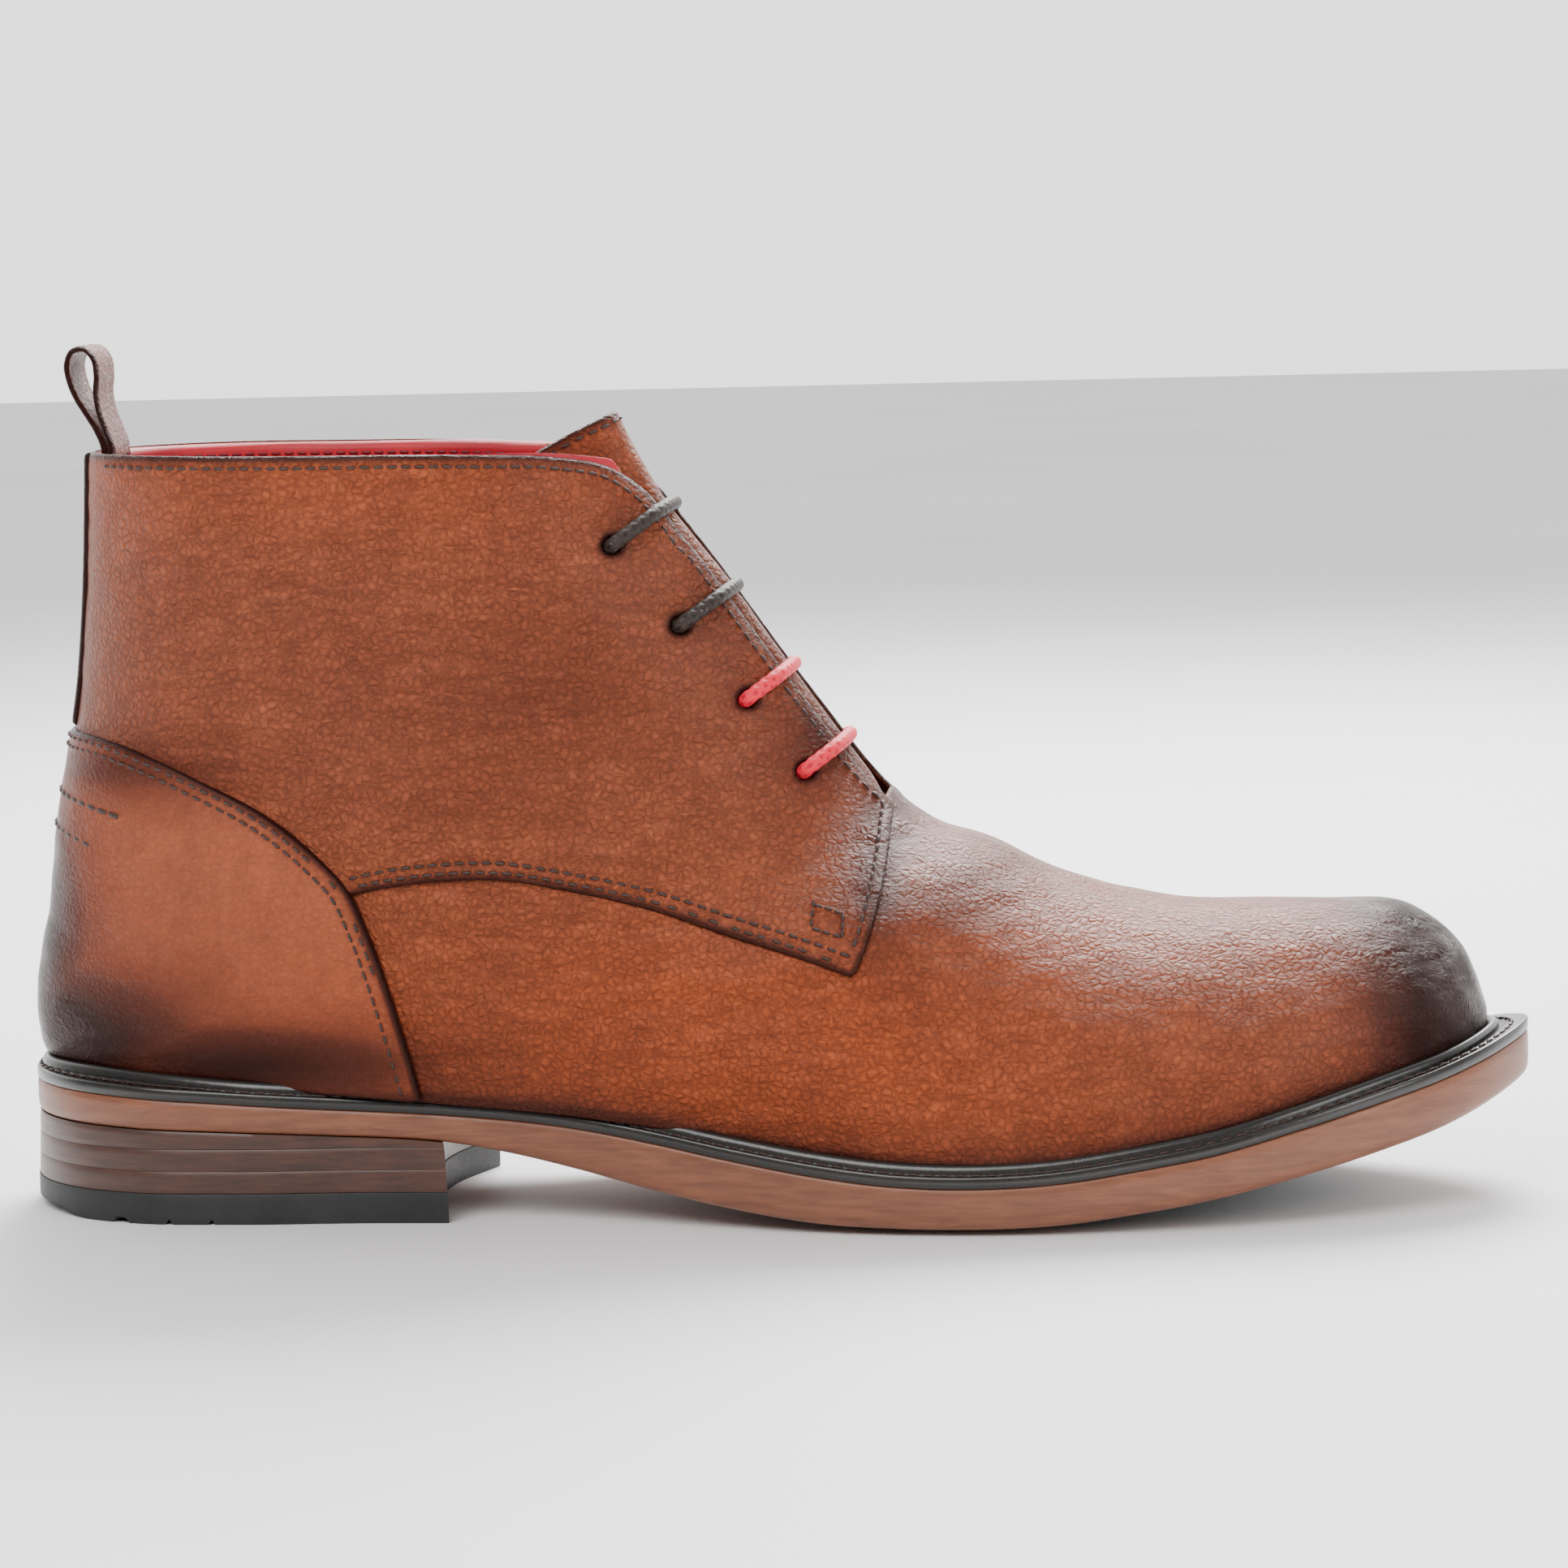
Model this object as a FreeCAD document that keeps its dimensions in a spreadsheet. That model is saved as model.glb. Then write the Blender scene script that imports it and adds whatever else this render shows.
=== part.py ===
"""A right-foot leather chukka boot, drawn from the rear of its heel (X = 0) towards the toe (+X).

Lateral side is -Y, medial side is +Y, Z = 0 is the ground. Every finished piece is then moved by
its Placement so that the origin lies on the ground under the middle of the boot.
"""
import FreeCAD, Part
import math
import os

from FreeCAD import Placement, Rotation, Vector

doc = FreeCAD.newDocument("ChukkaBoot")

# ---------------------------------------------------------------------------------------------
# Driving dimensions, in millimetres and degrees
# ---------------------------------------------------------------------------------------------
DIMENSIONS = {
    "CentreX": 154.0,           # middle of the boot's length, measured from the heel's rear
    "CentreY": 1.95,             # lateral overhang of the ball, so that the widths balance
    "BoxWidth": 160.0,          # width of every side-view cutting block
    "BoxHeight": 60.0,          # height of every plan-view block
    "LiningIn": 0.1,
    "LiningOut": 1.1,
    "StiffIn": 1.25,
    "StiffOut": 1.95,
    "UpperIn": 2.1,
    "VampIn": 2.15,
    "VampOut": 3.15,
    "VampClear": 3.3,
    "QuarterOut": 4.3,
    "CounterIn": 4.45,
    "CounterOut": 5.4,
    "TongueOut": -4.4,
    "TongueMid": -5.7,
    "TongueLiningOut": -5.85,
    "TongueLiningIn": -6.7,
    "FacingGap": 17.0,
    "HoleDiameter": 4.8,
    "LaceDiameter": 3.0,
    "LaceBend": 2.2,
    "LaceInside": -1.8,        # lace centre line behind the facings, measured from the form
    "LaceOutside": 6.8,         # lace centre line over the facings
    "FootClear": -0.1,
    "WeltClear": 0.5,
    "StripWidth": 13.0,
    "LoopWidth": 16.0,
    "TopLiftHeight": 6.3,
    "LiftHeight": 4.0,
    "LiftGap": 0.05,
    "TreadDrop": 1.3,           # the tread insert stands this far below the outsole
    "ShankWidth": 13.0,
    "NailDiameter": 2.0,
    "NailLength": 15.0,
}

sheet = doc.addObject("Spreadsheet::Sheet", "Sizes")
for row, (alias, value) in enumerate(DIMENSIONS.items(), start=1):
    sheet.set(f"A{row}", alias)
    sheet.set(f"B{row}", str(value))
    sheet.setAlias(f"B{row}", alias)
doc.recompute()


def size(alias):
    """The value of a cell of the sheet."""
    return float(sheet.get(alias))


# ---------------------------------------------------------------------------------------------
# Outlines. Side views are (x, z), plans are (x, y).
# ---------------------------------------------------------------------------------------------
OUTSOLE_PLAN = [
    (0, 0), (3.5, -14), (12, -25), (27, -33), (48, -35), (75, -34), (100, -34.5), (125, -38.5),
    (150, -45), (175, -50.5), (200, -52.5), (225, -51), (250, -46.5), (272, -38.5),
    (290, -27), (302, -13), (308, 3), (302.5, 19), (290, 31), (270, 39.5), (247, 45),
    (222, 48.3), (198, 48.5), (176, 46.5), (155, 41), (133, 33.5), (110, 29), (85, 29.5),
    (50, 34), (27, 33), (12, 25), (3.5, 14),
]
WELT_TOP = [
    (-10, 28.2), (30, 28.2), (70, 27.8), (92, 26.3), (117, 23.8), (134, 21.4), (150, 18.5),
    (167, 15.9), (183, 14.3), (199, 13.9), (215, 14.9), (231, 17.3), (247, 20.0), (262, 23.7),
    (278, 28.0), (294, 32.3), (306, 36.5), (320, 43),
]
SOLE_TOP = [
    (-10, 23.8), (30, 23.8), (70, 23.5), (92, 22.4), (117, 19.6), (134, 17.0), (150, 14.2),
    (167, 11.6), (183, 9.9), (199, 9.5), (215, 10.3), (231, 12.5), (247, 15.2), (262, 18.9),
    (278, 23.0), (294, 27.2), (306, 31.2), (320, 37.5),
]
SOLE_BOTTOM = [
    (-10, 18.5), (30, 18.5), (74, 18.5), (92, 16.9), (104, 14.4), (118, 11.2), (134, 7.4),
    (150, 4.4), (167, 2.2), (183, 1.5), (199, 1.4), (215, 2.0), (231, 3.9), (247, 6.4),
    (262, 9.6), (278, 13.4), (294, 17.8), (306, 22.6), (320, 29),
]

# Rings of the foot form, heel to toe. Each lies in the plane through a point of the instep line
# and a point of the heel or sole line: (xTop, zTop, xLow, zLow, half widths near the top, in the
# middle and low down, length of the rounding at the top and at the low end).
FORM_RINGS = [
    (114, 186, 21, 186, 24, 27.5, 26, 50, 34),
    (127, 153.5, 20.3, 150, 24.5, 28, 26.5, 50, 36),
    (146.5, 126, 17.3, 110, 24.5, 28.5, 26.5, 52, 36),
    (164, 101, 9.9, 66, 26, 29.5, 27, 56, 36),
    (177.5, 82.5, 8.6, 30, 31, 33, 26.5, 60, 36),
    (185, 75.5, 42, 2, 38, 34.5, 26.5, 60, 24),
    (198, 70.3, 112, -8, 46, 39, 29, 58, 18),
    (214.5, 62.5, 192, -14, 45.5, 45.5, 44.5, 48, 14),
    (238, 56.8, 240, -10, 40.5, 41.5, 41.5, 40, 14),
    (266, 56.2, 262, -4, 32, 33.5, 33.5, 30, 14),
    (284, 54.4, 272, -1, 22.5, 25.5, 25.5, 23, 12),
    (292.6, 47.5, 278, 0, 17, 20.5, 20.5, 18, 11),
    (296, 38, 281, 2, 14, 15.5, 15.5, 16, 10),
    (296.6, 27, 284.5, 4, 11, 12, 12, 14, 10),
    (295, 16, 288, 6, 4.6, 5, 5, 6, 6),
]
CENTRE_LINE = [(-20, 0), (45, 0), (110, -3.2), (200, -2), (250, -0.8), (285, 1.6), (330, 4.5)]

QUARTER_FRONT = [
    (181.4, 96), (181.6, 80), (181.3, 72), (180.2, 64), (178.4, 57), (175.9, 50.9), (167, 54.1),
    (151, 59), (134.9, 64.2), (118.4, 67.9), (105.3, 70), (93.7, 69.9), (82, 68.6), (72, 66.5),
]
COUNTER_EDGE = [
    (-10, 99), (10.1, 98.9), (20.2, 98), (30.1, 95.4), (43.2, 90), (57.1, 82.6), (67.2, 74.6),
    (73, 68.6), (77.1, 60.1), (80.9, 49.4), (83.7, 39.3), (86.6, 27), (89, 15),
]
COLLAR_LINE = [
    (-15, 155.6), (60, 155), (100, 154.4), (117, 153.2), (126, 151), (132, 146.8), (137, 141.2),
    (141, 135.5),
]
HOLE_PLACES = [(127.1, 135.4), (140.2, 119), (153.2, 103.8), (164.6, 89.2)]


def slope(knots, values, index):
    """Tangent of a smooth curve through the knots, at one of them."""
    last = len(knots) - 1
    before = max(index - 1, 0)
    after = min(index + 1, last)
    if before == index or after == index:
        return (values[after] - values[before]) / (knots[after] - knots[before])
    left = (values[index] - values[before]) / (knots[index] - knots[before])
    right = (values[after] - values[index]) / (knots[after] - knots[index])
    step_left = knots[index] - knots[before]
    step_right = knots[after] - knots[index]
    return (left * step_right + right * step_left) / (step_left + step_right)


def smooth(knots, values, place):
    """A value between knots, on the cubic that keeps the slopes."""
    index = 0
    while index < len(knots) - 2 and knots[index + 1] <= place:
        index += 1
    step = knots[index + 1] - knots[index]
    part = (place - knots[index]) / step
    start, end = values[index], values[index + 1]
    rise_start = slope(knots, values, index) * step
    rise_end = slope(knots, values, index + 1) * step
    return ((2 * part**3 - 3 * part**2 + 1) * start + (part**3 - 2 * part**2 + part) * rise_start
            + (3 * part**2 - 2 * part**3) * end + (part**3 - part**2) * rise_end)


def height_at(line, place):
    """Height of a side-view line at a place along the boot."""
    return smooth([p[0] for p in line], [p[1] for p in line], place)


def centre_at(place):
    """How far the boot's middle line swings sideways at a place along it."""
    return smooth([p[0] for p in CENTRE_LINE], [p[1] for p in CENTRE_LINE], place)


# ---------------------------------------------------------------------------------------------
# The foot form: one smooth closed surface, and its offsets
# ---------------------------------------------------------------------------------------------
ROWS_PER_RING = 3
POINTS_PER_HALF = 14


def ring_points(ring):
    """Points of one closed ring, from the instep down the medial side and up the lateral side."""
    x_top, z_top, x_low, z_low, width_top, width_mid, width_low, round_top, round_low = ring
    top = Vector(x_top, 0, z_top)
    run = Vector(x_low, 0, z_low) - top
    length = run.Length
    half = []
    for index in range(POINTS_PER_HALF + 1):
        share = (1 - math.cos(math.pi * index / POINTS_PER_HALF)) / 2
        width = (width_top * (share - 0.5) * (share - 0.8) / 0.18
                 - width_mid * (share - 0.2) * (share - 0.8) / 0.09
                 + width_low * (share - 0.2) * (share - 0.5) / 0.18)
        from_top = min(share * length / round_top, 1)
        from_low = min((1 - share) * length / round_low, 1)
        closing = math.sqrt(1 - (1 - from_top)**2) * (1 - (1 - from_low)**2.4)**(1 / 2.2)
        half.append((top + run * share, width * closing))
    medial = [point + Vector(0, width + centre_at(point.x), 0) for point, width in half]
    lateral = [point + Vector(0, centre_at(point.x) - width, 0) for point, width in half]
    return medial + lateral[-2:0:-1] + medial[:1]


def form_grid():
    """Rows of points over the whole form."""
    places = [0.0]
    for one, two in zip(FORM_RINGS, FORM_RINGS[1:]):
        step = math.hypot(one[0] - two[0], one[1] - two[1])
        places.append(places[-1] + (step + math.hypot(one[2] - two[2], one[3] - two[3])) / 2)
    columns = list(zip(*FORM_RINGS))
    rows = []
    for index in range((len(FORM_RINGS) - 1) * ROWS_PER_RING + 1):
        first = min(index // ROWS_PER_RING, len(FORM_RINGS) - 2)
        share = (index - first * ROWS_PER_RING) / ROWS_PER_RING
        place = places[first] + (places[first + 1] - places[first]) * share
        rows.append(ring_points([smooth(places, column, place) for column in columns]))
    return rows


BASE_GRID = form_grid()
BASE_SURFACE = Part.BSplineSurface()
BASE_SURFACE.interpolate(BASE_GRID)


def outward(point):
    """Unit normal of the form that points away from the foot."""
    normal = BASE_SURFACE.normal(*BASE_SURFACE.parameter(point))
    middle = Vector(point.x, centre_at(point.x), point.z)
    return normal if normal.dot(point - middle) >= 0 else normal * -1


def grid_normals():
    """Outward normals at every point of the grid."""
    normals = []
    for row in BASE_GRID:
        found = [BASE_SURFACE.normal(*BASE_SURFACE.parameter(point)) for point in row]
        quarter = len(row) // 4
        middle = Vector(row[quarter].x, centre_at(row[quarter].x), row[quarter].z)
        if found[quarter].dot(row[quarter] - middle) < 0:
            found = [normal * -1 for normal in found]
        found[-1] = found[0]
        normals.append(found)
    return normals


GRID_NORMALS = grid_normals()


def seam_below(row):
    """A closed ring's points, restarted at its low end."""
    return row[POINTS_PER_HALF:-1] + row[:POINTS_PER_HALF + 1]


def form_solid(offset, low_seam, rows=None):
    """The foot form grown outwards by an offset, as a closed solid, or only its first rows.

    The surface closes on itself along the instep, or under the sole where low_seam is true.
    """
    grid = [[point + normal * offset for point, normal in zip(row, normals)]
            for row, normals in list(zip(BASE_GRID, GRID_NORMALS))[:rows]]
    if low_seam:
        grid = [seam_below(row) for row in grid]
    surface = Part.BSplineSurface()
    surface.interpolate(grid)
    skin = surface.toShape()
    rings = [edge for edge in skin.Edges if edge.isClosed()]
    caps = [Part.makeFilledFace([ring]) for ring in rings]
    solid = Part.Solid(Part.Shell([skin] + caps))
    if solid.Volume < 0:
        solid.reverse()
    return solid


SHAFT_ROWS = 24                # rows of the form that the tongue lies on
FORMS = {}


def form(alias, low_seam=False):
    """The document object of the form at the offset in a cell, made once."""
    key = ("Low" if low_seam else "") + alias
    if key not in FORMS:
        FORMS[key] = doc.addObject("Part::Feature", "Form" + key)
        rows = SHAFT_ROWS if alias.startswith("Tongue") else None
        FORMS[key].Shape = form_solid(size(alias), low_seam, rows)
    return FORMS[key]


# ---------------------------------------------------------------------------------------------
# Sketches, blocks and booleans
# ---------------------------------------------------------------------------------------------
SIDE_VIEW = Placement(Vector(0, 0, 0), Rotation(Vector(1, 0, 0), 90))


def curve_through(points):
    """An open smooth curve through flat points."""
    curve = Part.BSplineCurve()
    curve.interpolate([Vector(x, y, 0) for x, y in points])
    return curve


def sketch_of(name, runs, side_view):
    """A closed sketch. A run of two points is straight, a longer one is a smooth curve."""
    sketch = doc.addObject("Sketcher::SketchObject", name)
    if side_view:
        sketch.Placement = SIDE_VIEW
    for run in runs:
        if len(run) == 2:
            edge = Part.LineSegment(Vector(*run[0], 0), Vector(*run[1], 0))
        else:
            edge = curve_through(run)
        sketch.addGeometry(edge, False)
    return sketch


def chain(*points):
    """Straight runs from point to point."""
    return [[one, two] for one, two in zip(points, points[1:])]


def polygon(points):
    """Straight runs round a closed polygon."""
    return [[one, two] for one, two in zip(points, points[1:] + points[:1])]


def closed_by(curve, *corners):
    """A smooth run, closed by straight runs through the corners."""
    return [curve] + chain(curve[-1], *corners, curve[0])


def side_block(name, runs, width="Sizes.BoxWidth"):
    """A block with a side-view outline, as wide as a cell says, centred on the middle plane."""
    block = doc.addObject("Part::Extrusion", name)
    block.Base = sketch_of(name + "Sketch", runs, True)
    block.DirMode = "Custom"
    block.Dir = Vector(0, 1, 0)
    block.Solid = True
    block.Symmetric = True
    block.setExpression("LengthFwd", width)
    return block


def plan_block(name, runs, bottom, height="Sizes.BoxHeight"):
    """A block with a plan outline that rises from a height."""
    block = doc.addObject("Part::Extrusion", name)
    block.Base = sketch_of(name + "Sketch", runs, False)
    block.Base.Placement = Placement(Vector(0, 0, bottom), Rotation())
    block.DirMode = "Custom"
    block.Dir = Vector(0, 0, 1)
    block.Solid = True
    block.setExpression("LengthFwd", height)
    return block


def cut(base, tool, name=""):
    """The first object without the second."""
    result = doc.addObject("Part::Cut", name or base.Name + "Less" + tool.Name)
    result.Base = base
    result.Tool = tool
    return result


def common(*objects, name=""):
    """What the objects share."""
    result = doc.addObject("Part::MultiCommon", name or "Shared" + "".join(o.Name for o in objects))
    result.Shapes = list(objects)
    return result


def joined(*objects, name="Joined"):
    """The objects as one."""
    result = doc.addObject("Part::MultiFuse", name)
    result.Shapes = list(objects)
    return result


def solid_object(name, shape):
    """A document object whose shape comes from Part's own functions."""
    holder = doc.addObject("Part::Feature", name)
    holder.Shape = shape
    return holder


SUB_PARTS = []


def finish_piece(holder, label):
    """Name a finished piece and move it to the boot's origin."""
    holder.Label = label
    holder.setExpression("Placement.Base.x", "-Sizes.CentreX")
    holder.setExpression("Placement.Base.y", "Sizes.CentreY")
    SUB_PARTS.append(holder)
    return holder


def layer(region, outer, inner, name, low_seam=False):
    """What a region holds between two offsets of the form."""
    return cut(common(region, form(outer, low_seam)), form(inner, low_seam), name)


# ---------------------------------------------------------------------------------------------
# Regions of the upper, as side-view blocks
# ---------------------------------------------------------------------------------------------
ABOVE = 210                    # height above everything
BELOW = -30                    # height below everything
FAR = 330                      # beyond the toe
SEAM_LAP = 11                  # how far the vamp reaches under the quarters

under_sole = side_block("UnderWelt", closed_by(WELT_TOP, (320, BELOW), (-10, BELOW)))
over_collar = side_block("OverCollar", closed_by(COLLAR_LINE, (190, ABOVE), (-15, ABOVE)))
left_half = solid_object("LateralHalf", Part.makeBox(400, 100, 300, Vector(-50, -100.1, -50)))
right_half = solid_object("MedialHalf", Part.makeBox(400, 100, 300, Vector(-50, 0.1, -50)))

quarter_zone = side_block("QuarterZone", [
    QUARTER_FRONT[:6], QUARTER_FRONT[5:],
    [QUARTER_FRONT[-1], (73, 60), (77, 49), (80, 39), (83, 27), (85, 15)],
    *chain((85, 15), (-40, 15), (-40, ABOVE), (181.4, ABOVE), QUARTER_FRONT[0])])
vamp_zone = side_block("VampZone", [
    [(184, 96), (179.5, 82.5)], [(179.5, 82.5), (164, 66)],
    [(164, 66), (151, 70), (134.9, 75.2), (118.4, 79), (105.3, 81), (93.7, 80.9), (80, 79.5)],
    [(80, 79.5), (66, 66)], [(66, 66), (66, BELOW)], [(66, BELOW), (FAR, BELOW)],
    [(FAR, BELOW), (FAR, 96)], [(FAR, 96), (184, 96)]])
counter_zone = side_block("CounterZone", closed_by(COUNTER_EDGE, (-10, 15)))
strip_zone = side_block("StripZone", polygon([(-10, 99.6), (40, 99.6), (40, ABOVE), (-10, ABOVE)]))
puff_zone = side_block("PuffZone", closed_by(
    [(262, BELOW), (264, 40), (270, 56), (276, 90)], (FAR, 90), (FAR, BELOW)))
stiffener_zone = side_block("StiffenerZone", closed_by(
    [(-10, 74), (20, 73), (42, 64), (58, 48), (64, 20)], (-10, 20)))
front_cut = side_block("FrontCut", polygon([(262, BELOW), (276, 90), (FAR, 90), (FAR, BELOW)]))

gap_plan = [[(x, centre_at(x) + side * size("FacingGap") / 2) for x in (90, 110, 130, 150, 170, 190)]
            for side in (-1, 1)]
facing_gap = plan_block("FacingGapBlock", [
    gap_plan[0], [gap_plan[0][-1], gap_plan[1][-1]], gap_plan[1], [gap_plan[1][0], gap_plan[0][0]]],
    60, "Sizes.BoxWidth")


tongue_zone = side_block("TongueZone", polygon([
    (190, 78), (182, 64), (166, 82), (146, 108), (128, 133), (109, 152.5), (124.5, 163.5), (140, 172),
    (200, 130)]))
stay_zone = side_block("StayZone", closed_by(
    [(108, 154), (120, 140), (140, 112), (160, 88), (172, 72), (176, 62)],
    (200, 62), (200, ABOVE), (108, ABOVE)))
LINING_SEAM = [(184, 96), (176, 80), (160, 62), (120, 48), (100, 15)]
front_lining_zone = side_block("FrontLiningZone", polygon([*LINING_SEAM, (100, BELOW), (FAR, BELOW), (FAR, 96)]))
back_lining_zone = side_block("BackLiningZone", polygon([
    *[(x - 0.2, z) for x, z in LINING_SEAM], (-40, 15), (-40, ABOVE), (183.8, ABOVE)]))

# ---------------------------------------------------------------------------------------------
# The form in each zone, used as clearance
# ---------------------------------------------------------------------------------------------
vamp_clearance = common(form("VampClear", True), vamp_zone, name="VampClearance")
quarter_clearance = common(form("CounterIn"), quarter_zone, name="QuarterClearance")

# ---------------------------------------------------------------------------------------------
# Lace holes and lace routes
# ---------------------------------------------------------------------------------------------
INSTEP_OUT = Vector(0.81, 0, 0.586)       # square to the instep line, away from the foot
BASE_FACE = BASE_SURFACE.toShape()


def on_form(place, side, sideways=None):
    """A point of the form beside a lace hole, or at a sideways distance in the same cross plane."""
    x, z = place
    if sideways is None:
        start = Vector(x, centre_at(x), z)
        finish = start + Vector(0, side * 90, 0)
    else:
        start = Vector(x, centre_at(x) + side * sideways, z) - INSTEP_OUT * 5
        finish = start + INSTEP_OUT * 60
    return Part.makeLine(start, finish).distToShape(BASE_FACE)[1][0][1]


def raised(point, offset):
    """A point of the form, moved off it along its normal."""
    return point + outward(point) * offset


def rounded_path(points, radius):
    """A wire of straight runs joined by tangent arcs. It returns the wire and its length."""
    edges = []
    start = points[0]
    for before, corner, after in zip(points, points[1:], points[2:]):
        inward = (before - corner).normalize()
        onward = (after - corner).normalize()
        turn = math.pi - inward.getAngle(onward)
        shorter = min((before - corner).Length, (after - corner).Length)
        bend = min(0.45 * shorter / math.tan(turn / 2), radius) if turn > 1.2 \
            else 0.45 * shorter / math.tan(turn / 2)
        reach = bend * math.tan(turn / 2)
        bisector = (inward + onward).normalize()
        middle = corner + bisector * (bend / math.cos(turn / 2) - bend)
        entry = corner + inward * reach
        leave = corner + onward * reach
        edges.append(Part.LineSegment(start, entry).toShape())
        edges.append(Part.Arc(entry, middle, leave).toShape())
        start = leave
    edges.append(Part.LineSegment(start, points[-1]).toShape())
    return Part.Wire(edges)


def tube(points, diameter, radius):
    """A round tube along a rounded path."""
    path = rounded_path(points, radius)
    direction = points[1] - points[0]
    section = Part.Wire(Part.makeCircle(diameter / 2, points[0], direction))
    solid = path.makePipeShell([section], True, False)
    expected = math.pi * diameter**2 / 4 * path.Length
    print(f"tube: length {path.Length:.1f}, volume {solid.Volume:.0f}, expected {expected:.0f}")
    return solid


def hole_drills():
    """A round drill through both facings at every lace hole."""
    drills = []
    for place in HOLE_PLACES:
        for side in (-1, 1):
            point = on_form(place, side)
            normal = outward(point)
            drills.append(Part.makeCylinder(size("HoleDiameter") / 2, 9, point - normal * 2, normal))
    return Part.makeCompound(drills)


def lace_route(lower, upper):
    """The whole route of one lace: two straight bars, one inner run and two tucked tails."""
    inside, outside = size("LaceInside"), size("LaceOutside")

    def bar(place, side):
        edge = size("FacingGap") / 2 - 1.5
        hole, far = on_form(place, side), on_form(place, -side)
        return [raised(hole, inside), raised(hole, outside),
                raised(on_form(place, side, edge), outside),
                raised(on_form(place, -side, edge), outside),
                raised(far, outside), raised(far, inside)]

    def tail(place, back, down, length):
        spots = []
        for share in (0.35, 0.7, 1.0):
            spot = (place[0] - back * share * length, place[1] - down * share * length)
            spots.append(raised(on_form(spot, 1), inside))
        return spots

    return (tail(lower, 0.95, 0.3, 34)[::-1] + bar(lower, 1) + bar(upper, -1)
            + tail(upper, 0.95, 0.3, 34))


hole_block = solid_object("LaceHoles", hole_drills())

# ---------------------------------------------------------------------------------------------
# The upper
# ---------------------------------------------------------------------------------------------
def sides(whole, label):
    """A lateral and a medial piece from one symmetrical one."""
    for half, word in ((left_half, "lateral"), (right_half, "medial")):
        finish_piece(common(whole, half, name=f"{whole.Name}{word.title()}"), f"{label}_{word}")


vamp_region = cut(vamp_zone, under_sole)
finish_piece(layer(vamp_region, "VampOut", "VampIn", "Vamp", True), "vamp")

quarter_region = cut(cut(cut(quarter_zone, under_sole), over_collar), facing_gap)
quarter_skin = layer(quarter_region, "QuarterOut", "UpperIn", "QuarterSkin")
sides(cut(cut(quarter_skin, vamp_clearance), hole_block, "Quarter"), "quarter")

counter_region = cut(counter_zone, under_sole)
counter = layer(counter_region, "CounterOut", "VampClear", "CounterSkin")
finish_piece(cut(counter, quarter_clearance, "Counter"), "heel_counter_cover")

strip_width = doc.addObject("Part::Box", "StripWidthBlock")
strip_width.setExpression("Width", "Sizes.StripWidth")
strip_width.Length, strip_width.Height = 60, 240
strip_width.Placement.Base = Vector(-10, -size("StripWidth") / 2, -10)
strip_region = common(cut(strip_zone, over_collar), strip_width, name="StripRegion")
finish_piece(layer(strip_region, "CounterOut", "CounterIn", "BackStrip"), "back_strip")

front_lining_region = cut(front_lining_zone, under_sole)
finish_piece(layer(front_lining_region, "LiningOut", "LiningIn", "VampLining", True), "vamp_lining")
back_lining_region = cut(cut(cut(back_lining_zone, under_sole), over_collar), facing_gap)
back_lining = layer(back_lining_region, "LiningOut", "LiningIn", "BackLining")
sides(cut(back_lining, hole_block, "QuarterLining"), "quarter_lining")

puff_region = cut(puff_zone, under_sole)
finish_piece(layer(puff_region, "StiffOut", "StiffIn", "ToePuff", True), "toe_puff")
stiffener_region = cut(stiffener_zone, under_sole)
finish_piece(layer(stiffener_region, "StiffOut", "StiffIn", "HeelStiffener"), "heel_stiffener")
stay_region = cut(cut(cut(common(stay_zone, quarter_zone), under_sole), over_collar), facing_gap)
sides(cut(layer(stay_region, "StiffOut", "StiffIn", "StaySkin"), hole_block, "Stay"), "facing_stay")

finish_piece(layer(tongue_zone, "TongueOut", "TongueMid", "Tongue", True), "tongue")
tongue_lining = layer(tongue_zone, "TongueLiningOut", "TongueLiningIn", "TongueLining", True)
finish_piece(tongue_lining, "tongue_lining")


# ---------------------------------------------------------------------------------------------
# Insole, filler, shank, welt and outsole
# ---------------------------------------------------------------------------------------------
def band(name, low_line, low_shift, high_line, high_shift, width="Sizes.BoxWidth"):
    """A block between two side-view lines, each moved up or down."""
    low = [(x, z + low_shift) for x, z in low_line]
    high = [(x, z + high_shift) for x, z in high_line][::-1]
    return side_block(name, [low, [low[-1], high[0]], high, [high[-1], low[0]]], width)


foot_space = form("FootClear")
finish_piece(common(foot_space, band("SockBand", WELT_TOP, 1.35, WELT_TOP, 2.6), name="SockLiner"),
             "sock_liner")
finish_piece(common(foot_space, band("InsoleBand", WELT_TOP, -1.2, WELT_TOP, 1.2), name="Insole"),
             "insole_board")

shank_line = [(x, height_at(SOLE_TOP, x)) for x in (52, 70, 90, 110, 128, 145)]
shank_hull = band("ShankClearance", shank_line, -1, shank_line, 1.5, "Sizes.ShankWidth + 0.3")
shank = band("Shank", shank_line, 0.25, shank_line, 1.35, "Sizes.ShankWidth")
shank_trim = solid_object("ShankTrim", Part.makeBox(92, 100, 60, Vector(52.3, -50, 0)))
finish_piece(common(shank, shank_trim, name="SteelShank"), "steel_shank")
cork = cut(common(foot_space, band("CorkBand", SOLE_TOP, 0.1, WELT_TOP, -1.35)), shank_hull, "Cork")
finish_piece(cork, "cork_filler")


def closed_spline(name, points, bottom, height="Sizes.BoxHeight"):
    """A block whose plan is one closed smooth curve."""
    block = plan_block(name, [], bottom, height)
    curve = Part.BSplineCurve()
    curve.interpolate([Vector(x, y, 0) for x, y in points], PeriodicFlag=True)
    block.Base.addGeometry(curve, False)
    return block


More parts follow.
